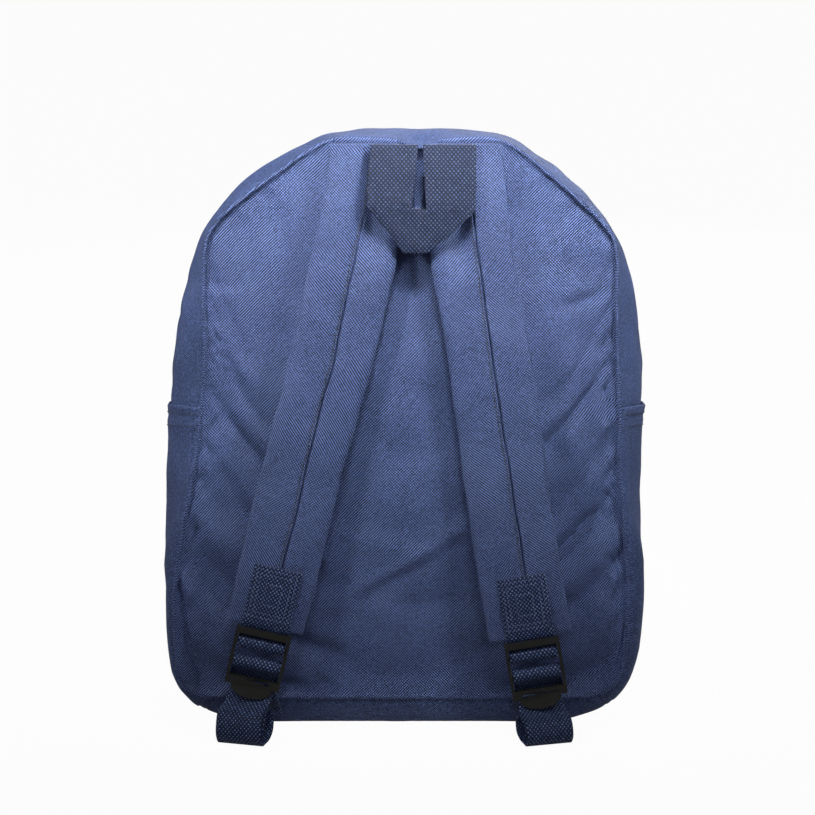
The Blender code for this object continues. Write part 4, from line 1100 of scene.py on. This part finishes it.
def make_adjuster(side):
    m, across = lock_frame(side)
    front = [(0.0300, 0.0012), (0.0270, 0.0012)]
    front += around((BAR_B - 0.0001, BAR_W - 0.0001), WEB_TURN + 0.0009, -160, 20, 7)
    front += [(0.0290, 0.0044), (0.0325, 0.0026), (0.0380, 0.0018), (0.0430, 0.0008)]
    line = local_line(m, front)
    yaw = math.radians(ROLL_YAW[side])
    rolled = np.array([math.cos(yaw), math.sin(yaw), 0.0])
    inward = np.array([-math.sin(yaw), math.cos(yaw), 0.0])
    twist = [0.0] * (len(line) - 2) + [0.15, 0.80] + [1.0] * len(ROLL)
    sides = [across * (1 - t) + rolled * t for t in twist]
    end = Vector(line[-1])
    middle, lowest = -0.0840, 0.0013
    squeeze = (end.z - 0.0050 - lowest) / (ROLL[0][1] - lowest)
    for k, (y, z) in enumerate(ROLL):
        x = end.x + ROLL_SHIFT[side] * min(1.0, (k + 1.0) / 3)
        base = np.array([x, middle, lowest + (z - lowest) * squeeze])
        line.append(tuple(base + inward * (y - middle)))
    obj, length = ribbon(f"adjuster_web_{side}", line, sides)
    put(obj, f"buckle_{side}", f"adjuster_webbing_{side}", slot="navy_webbing")
    load = local_line(m, [(0.0305, 0.0006), (0.0350, -0.0010), (0.0400, -0.0045)])
    x = load[-1][0]
    load += [(x * 0.98, -0.0705, 0.0250), (x * 0.97, -0.0652, 0.0195),
             (x * 0.965, -0.0628, 0.0150)]
    obj, length = ribbon(f"load_web_{side}", load, across)
    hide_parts(f"load_webbing_{side}")
    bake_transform(obj)


def bevel(obj, width, segments, degrees):
    mod = obj.modifiers.new("edges", "BEVEL")
    mod.width = width
    mod.segments = segments
    mod.limit_method = "ANGLE"
    mod.angle_limit = math.radians(degrees)


def bevelled(node, material, width, segments):
    """A CAD part with its edges rounded."""
    obj = frame["nodes"][node]
    obj.data.materials.clear()
    obj.data.materials.append(MAT[material])
    bevel(obj, width, segments, 35)


# ---- carry loop --------------------------------------------------------------------------
# The folded webbing with the slit between its legs, as (x, z).
HAUL_OUTLINE = mm([
    (-22.1, 374.5), (-23.6, 356), (-24.5, 338.4), (-13, 324), (-2.7, 310.1), (12.4, 310.1),
    (27, 322), (40.9, 335.3), (41.3, 356), (41.5, 374.5), (9.2, 374.5), (10.2, 356),
    (11.2, 336.2), (2.1, 337), (5, 356), (6.4, 374.5),
])


def haul_y(z):
    return float(np.interp(z, [0.3090, 0.3380, 0.3560, 0.3745],
                           [-0.0822, -0.0805, -0.0770, -0.0722]))


def make_haul_loop():
    mesh = bpy.data.meshes.new("haul_loop_web")
    bm = bmesh.new()
    bm.faces.new([bm.verts.new((x, 0.0, z)) for x, z in HAUL_OUTLINE])
    bm.normal_update()
    bmesh.ops.triangulate(bm, faces=bm.faces[:], ngon_method="EAR_CLIP")
    bmesh.ops.subdivide_edges(bm, edges=bm.edges[:], cuts=7, use_grid_fill=True)
    bm.verts.ensure_lookup_table()
    edge = np.array([(v.co.x, v.co.z) for v in bm.verts if v.is_boundary])
    top = bm.faces[:]
    for v in bm.verts:
        d = float(np.min(np.hypot(edge[:, 0] - v.co.x, edge[:, 1] - v.co.z)))
        swell = 0.0004 * min(1.0, d / 0.003)
        wavy = 0.0004 * float(ripple(v.co.x, v.co.z, 0.02, 7, 8))
        v.co.y = haul_y(v.co.z) - 0.0012 - swell + wavy
    made = bmesh.ops.extrude_face_region(bm, geom=top)["geom"]
    for v in made:
        if isinstance(v, bmesh.types.BMVert):
            v.co.y = haul_y(v.co.z) + 0.0015
    bmesh.ops.recalc_face_normals(bm, faces=bm.faces[:])
    uv = bm.loops.layers.uv.new("UVMap")
    for f in bm.faces:
        for loop in f.loops:
            loop[uv].uv = (loop.vert.co.x, loop.vert.co.z)
    bm.to_mesh(mesh)
    bm.free()
    mesh.polygons.foreach_set("use_smooth", [True] * len(mesh.polygons))
    mesh.materials.append(MAT["loop"])
    obj = bpy.data.objects.new("haul_loop_web", mesh)
    bpy.context.scene.collection.objects.link(obj)
    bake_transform(obj)
    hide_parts("haul_loop")
    bevel(obj, 0.0006, 3, 50)


# ---- front of the bag --------------------------------------------------------------------
FP_HALF, FP_LOW, FP_TOP, FP_FACE, FP_ZIP_Z = 0.112, 0.030, 0.196, 0.088, 0.178


def front_surface(x, z, folds=True):
    """y of the front panel's cloth; larger y stands further out."""
    rho, angle = polar(x, z)
    rim = reach("front", angle)
    y = FRONT_Y + GAP + 0.0045 * (1 - np.minimum(1.0, rho / rim) ** 2) + FABRIC
    edge = np.maximum(rim - rho, 0.0)
    y = y - 0.0026 * bump01(edge, 0.0, 0.0030, 1.4)
    if folds:
        s = np.radians(angle) * 0.15
        y = y + 0.0004 * ripple(s, edge * 0.35, 0.013, 205, 10) * np.exp(-edge / 0.010)
        y = y + 0.0009 * ripple(x, z, 0.070, 211, 9) * np.clip(edge / 0.02, 0, 1)
    return y


def flat_panel(name, outer, middle):
    """A panel from the rings of its outer face, with its thickness towards the bag."""
    inner = outer[::-1] - [0, SHEET_T, 0]
    verts, faces = panel_solid(np.concatenate([outer, inner]), middle, middle - [0, SHEET_T, 0])
    return new_object(name, verts, faces, np.array(verts)[:, (0, 2)], MAT["cloth"])


def make_front_panel():
    ang = spread(-90, 270, 361)[:-1]
    rim = reach("front", ang) - 0.0004
    outer = panel_rings(ang, rim, panel_shares(0.03, 36, 20), front_surface)
    middle = np.array([ARCH_X, float(front_surface(ARCH_X, ARCH_Z)), ARCH_Z])
    obj = flat_panel("front_panel_cloth", outer, middle)
    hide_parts("front_panel_lower", "front_panel_upper")
    bend_with_mouth(obj)


def teeth(name, places, rings, body, node):
    """Moulded zip teeth. A place has a middle and three directions; a ring has its distance along
    the first of them and its half sizes along the others."""
    verts, faces = [], []
    for c, first, second, third in places:
        faces += bead_faces(len(rings), len(verts))
        for far, wide, high in rings:
            for g in np.arange(6) * math.pi / 3:
                verts.append(c + first * far + second * math.cos(g) * wide
                             + third * math.sin(g) * high)
    put(new_object(name, verts, faces, None, MAT["nylon"]), body, node, slot="zip_nylon")


def make_main_zip():
    under, past_ends, count = FABRIC + GAP, 4.6, 300
    rings = (-0.00115, 0.00042, 0.00045), (0.0, 0.00052, 0.00075), (0.00115, 0.00046, 0.0006)
    for name, y0, y1, body, way, shift in (
        ("rear", ZIP_Y - 0.013, ZIP_Y - 0.0012, "bag", -1, 0.0),
        ("front", ZIP_Y + 0.0012, ZIP_Y + 0.013, "mouth", 1, 0.5),
    ):
        ang = np.linspace(1.4, 178.6, 300)
        if name == "rear":
            # this tape runs on below both ends, where it closes the gap between the gusset cloths
            ang = np.linspace(-past_ends, 180 + past_ends, 320)
            y1 = y1 + 0.0090 * step01(np.abs(ang - 90) - 90, -1.2, -0.6)[:, None]
        p = body_point(ang[:, None], y0 + (y1 - y0) * np.linspace(0, 1, 6) + 0 * ang[:, None])
        p = p - outward(p) * under
        uv, length, width = loop_uv(p)
        tape = cloth_sheet(f"main_zip_tape_cloth_{name}", p, uv, TAPE_T, MAT["tape"])
        put(tape, body, f"main_zip_tape_{name}", slot="zip_nylon")
        places = []
        for a in 1.6 + 176.8 * (np.arange(count) + shift) / count:
            out = np.array([math.cos(math.radians(a)), 0, math.sin(math.radians(a))])
            places.append((at(a, ARCH_R - under + 0.0004, ZIP_Y + way * 0.0009),
                           np.array([0, -way, 0]), np.array([-out[2], 0, out[0]]), out))
        teeth(f"main_zip_teeth_{name}", places, rings, body, f"main_zip_coil_{name}")


def pocket_outline():
    """The front pocket's outline as (x, z), at even steps."""
    low, top = 0.034, 0.014
    points = []
    for x, z, r, start in (
        (FP_HALF - low, FP_LOW + low, low, -90), (FP_HALF - top, FP_TOP - top, top, 0),
        (top - FP_HALF, FP_TOP - top, top, 90), (low - FP_HALF, FP_LOW + low, low, 180),
    ):
        for a in np.radians(start + 11.25 * np.arange(9)):
            points.append((ARCH_X + x + r * math.cos(a), z + r * math.sin(a)))
    points.append(points[0])
    return even(points, 0.004)[:-1]


def fill_panel(name, ring, y_of, rings=26):
    """A flat-cut panel inside a closed (x, z) outline, and its area."""
    ring = np.array(ring)
    centre = ring.mean(axis=0)
    shares = np.concatenate([np.linspace(0.04, 0.9, rings), [0.94, 0.97, 0.985, 1.0]])[:, None]
    x, z = np.moveaxis(centre + (ring - centre) * shares[..., None], -1, 0)
    edge = (1 - shares) * np.linalg.norm(ring - centre, axis=1)
    y = y_of(x, z) - 0.0010 * np.exp(-edge / 0.0012)
    middle = np.array([centre[0], float(y_of(*centre)), centre[1]])
    x1, z1 = ring.T
    area = 0.5 * abs(np.sum(x1 * np.roll(z1, -1) - z1 * np.roll(x1, -1)))
    return flat_panel(name, np.stack([x, y, z], -1), middle), area


def make_pocket_side(outline):
    x, z = outline.T[..., None]
    k = np.linspace(0, 1, 10)
    y0 = front_surface(x, z, False) + 2 * GAP
    dx, dz = x - ARCH_X, z - 0.11
    bow = 0.0012 * np.sin(math.pi * k) * 0.6 / np.hypot(dx, dz)
    p = np.stack([x + dx * bow, y0 + (FP_FACE - GAP - y0) * k, z + dz * bow], -1)
    n, nv = p.shape[:2]
    inner = p.copy()
    inner[..., 0] = ARCH_X + (p[..., 0] - ARCH_X) * (1 - 0.0016 / FP_HALF)
    inner[..., 2] = 0.113 + (p[..., 2] - 0.113) * (1 - 0.0016 / 0.083)
    faces = grid_faces(n, nv, around=True) + grid_faces(n, nv, around=True, flip=True, base=n * nv)
    for i in range(n):
        a, b = i * nv, (i + 1) % n * nv
        for e in (0, nv - 1):
            faces.append((a + e, b + e, n * nv + b + e, n * nv + a + e))
    lengths = lengths_along(np.vstack([outline, outline[:1]]))
    uv = np.stack(np.meshgrid(lengths[:-1], k * 0.026, indexing="ij"), -1).reshape(-1, 2)
    obj = new_object("front_pocket_side_cloth", np.vstack([p, inner]).reshape(-1, 3), faces,
                     np.vstack([uv, uv]), MAT["cloth"])
    put(obj, "bag", "front_pocket_gusset", slot="navy_cloth")


def pocket_face(x, z):
    """y of the pocket's face, fullest at its middle."""
    full = (np.maximum(0.0, 1 - ((x - ARCH_X) / FP_HALF) ** 2)
            * np.maximum(0.0, 1 - ((z - 0.100) / 0.065) ** 2))
    wavy = 0.0006 * ripple(x, z, 0.05, 307, 9) * np.minimum(1, full * 4)
    return FP_FACE + FABRIC + 0.0035 * full + wavy


def make_front_pocket():
    outline = pocket_outline()
    make_pocket_side(outline)

    # the face's outline starts on the left side, below the zip
    edge = FP_ZIP_Z - 0.0045
    cut = [tuple(q) for q in outline if q[1] < edge - 0.001]
    start = next((i for i in range(len(cut))
                  if cut[i][0] < ARCH_X < cut[i - 1][0] and cut[i][1] > 0.1), 0)
    cut = cut[start:] + cut[:start]
    cut += [(ARCH_X + FP_HALF * t, edge) for t in np.linspace(0.999, -0.999, 40)]
    panel, area = fill_panel("front_pocket_face_cloth", cut, pocket_face)
    put(panel, "bag", "front_pocket_panel", slot="navy_cloth")

    edge, end = FP_ZIP_Z + 0.0045, FP_HALF - 0.0002
    strip = [(ARCH_X + end, edge), *(tuple(q) for q in outline if q[1] > FP_ZIP_Z + 0.0050),
             (ARCH_X - end, edge)]
    strip += [(ARCH_X + FP_HALF * t, edge) for t in np.linspace(-0.97, 0.97, 40)]
    band, area = fill_panel("front_pocket_band_cloth", strip,
                            lambda x, z: FP_FACE + FABRIC + 0 * x, 10)
    put(band, "bag", "front_pocket_strip", slot="navy_cloth")

    tape_y, half, count = FP_FACE - GAP, FP_HALF - 0.006, 260
    for name, z0, z1 in (("lower", FP_ZIP_Z - 0.0115, FP_ZIP_Z - 0.0012),
                         ("upper", FP_ZIP_Z + 0.0012, FP_ZIP_Z + 0.0115)):
        x, z = np.meshgrid(np.linspace(ARCH_X - half, ARCH_X + half, 120),
                           np.linspace(z0, z1, 5), indexing="ij")
        p = np.stack([x, np.full(x.shape, tape_y), z], -1)
        tape = cloth_sheet(f"pocket_zip_tape_cloth_{name}", p, p[..., (0, 2)], TAPE_T, MAT["tape"])
        put(tape, "bag", f"pocket_zip_tape_{name}", slot="zip_nylon")
    along, out = np.eye(3)[:2]
    places = []
    for k in range(count):
        way = 1 if k % 2 else -1
        x = ARCH_X - half + 0.001 + (2 * half - 0.002) * k / count
        c = np.array([x, tape_y + 0.0004, FP_ZIP_Z + way * 0.0006])
        places.append((c, np.array([0, 0, way]), along, out))
    rings = (-0.0012, 0.00040, 0.00040), (0.0, 0.00050, 0.00062), (0.0012, 0.00042, 0.00050)
    teeth("pocket_zip_teeth", places, rings, "bag", "pocket_zip_coil")


# ---- studio ------------------------------------------------------------------------------
# As the camera sees them, floor and background are this bright.
BACKGROUND = 0.965
# Name, place, where it points, size, power and how wide its light spreads in degrees.
LIGHTS = (
    ("key", (0.04, -0.52, 0.90), (0.01, 0, 0.385), 0.10, 0.68, 41),
    ("key_right", (0.46, -0.50, 0.66), (0.080, 0, 0.325), 0.14, 0.62, 50),
    ("key_left", (-0.46, -0.50, 0.66), (-0.085, 0, 0.320), 0.14, 0.56, 50),
    ("fill", (-0.3, -2.2, 0.9), (0, 0, 0.18), 1.4, 2.2, 180),
    ("top", (0.1, 0.5, 2.0), (0, 0, 0.2), 1.2, 1.0, 180),
    ("behind", (0.5, 2.0, 1.1), (0, 0, 0.2), 1.4, 16.0, 180),
    ("beside_right", (2.0, 0.1, 0.9), (0, 0, 0.2), 1.2, 5.0, 180),
    ("beside_left", (-2.0, 0.1, 0.9), (0, 0, 0.2), 1.2, 6.0, 180),
)


def make_studio():
    scene = bpy.context.scene
    cam = bpy.data.objects.new("camera", bpy.data.cameras.new("camera"))
    scene.collection.objects.link(cam)
    cam.location = (0.0, -1.5, 0.516)
    cam.rotation_euler = (math.radians(90 - 12.0), 0, 0)
    cam.data.lens = 104.5
    cam.data.sensor_width = 36.0
    scene.camera = cam
    scene.view_settings.view_transform = "Standard"
    mesh = bpy.data.meshes.new("floor")
    mesh.from_pydata([(-40, -6, 0), (40, -6, 0), (40, 90, 0), (-40, 90, 0)], [], [(0, 1, 2, 3)])
    floor = bpy.data.objects.new("floor", mesh)
    scene.collection.objects.link(floor)
    n = Nodes("pale_floor")
    cloud = n.noise(n.position(), 0.8, 2.0)
    grey = n.ramp(cloud, [(0.3, (0.72, 0.72, 0.72)), (0.7, (0.76, 0.76, 0.76))])
    n.finish(grey, Roughness=0.8, Specular_IOR_Level=0.1)
    glow = n.node("ShaderNodeEmission")
    glow.inputs["Strength"].default_value = 1.0
    seen = n.node("ShaderNodeLightPath")
    share = n.node("ShaderNodeMapRange")
    share.inputs["To Max"].default_value = BACKGROUND
    n.link(seen.outputs["Is Camera Ray"], share.inputs["Value"])
    mix = n.node("ShaderNodeMixShader")
    n.link(share.outputs["Result"], mix.inputs[0])
    n.link(n.bsdf.outputs[0], mix.inputs[1])
    n.link(glow.outputs[0], mix.inputs[2])
    n.link(mix.outputs[0], n.tree.nodes["Material Output"].inputs["Surface"])
    floor.data.materials.append(n.material)
    world = bpy.data.worlds.new("studio")
    scene.world = world
    world.use_nodes = True
    tree = world.node_tree
    back = tree.nodes["Background"]
    back.inputs[0].default_value = (1, 1, 1, 1)
    seen = tree.nodes.new("ShaderNodeLightPath")
    level = tree.nodes.new("ShaderNodeMapRange")
    level.inputs["To Min"].default_value = 0.05
    level.inputs["To Max"].default_value = BACKGROUND
    tree.links.new(seen.outputs["Is Camera Ray"], level.inputs["Value"])
    tree.links.new(level.outputs["Result"], back.inputs[1])
    for name, place, target, size, power, spread_deg in LIGHTS:
        light = bpy.data.lights.new(name, "AREA")
        light.size = size
        light.spread = math.radians(spread_deg)
        light.energy = power
        obj = bpy.data.objects.new(name, light)
        scene.collection.objects.link(obj)
        obj.location = place
        obj.rotation_euler = (Vector(target) - Vector(place)).to_track_quat("-Z", "Y").to_euler()


def main():
    make_back_panel()
    make_gussets()
    make_side_pockets()
    make_front_panel()
    make_front_pocket()
    make_main_zip()
    for side in ("left", "right"):
        make_strap(side)
        make_tab(side)
        make_adjuster(side)
        bevelled(f"ladder_lock_{side}", "plastic", 0.0005, 3)
    for node in ("main_slider_left", "main_slider_right", "main_puller_left", "main_puller_right",
                 "pocket_slider", "pocket_puller"):
        bevelled(node, "metal", 0.0003, 2)
    make_haul_loop()
    make_studio()


main()
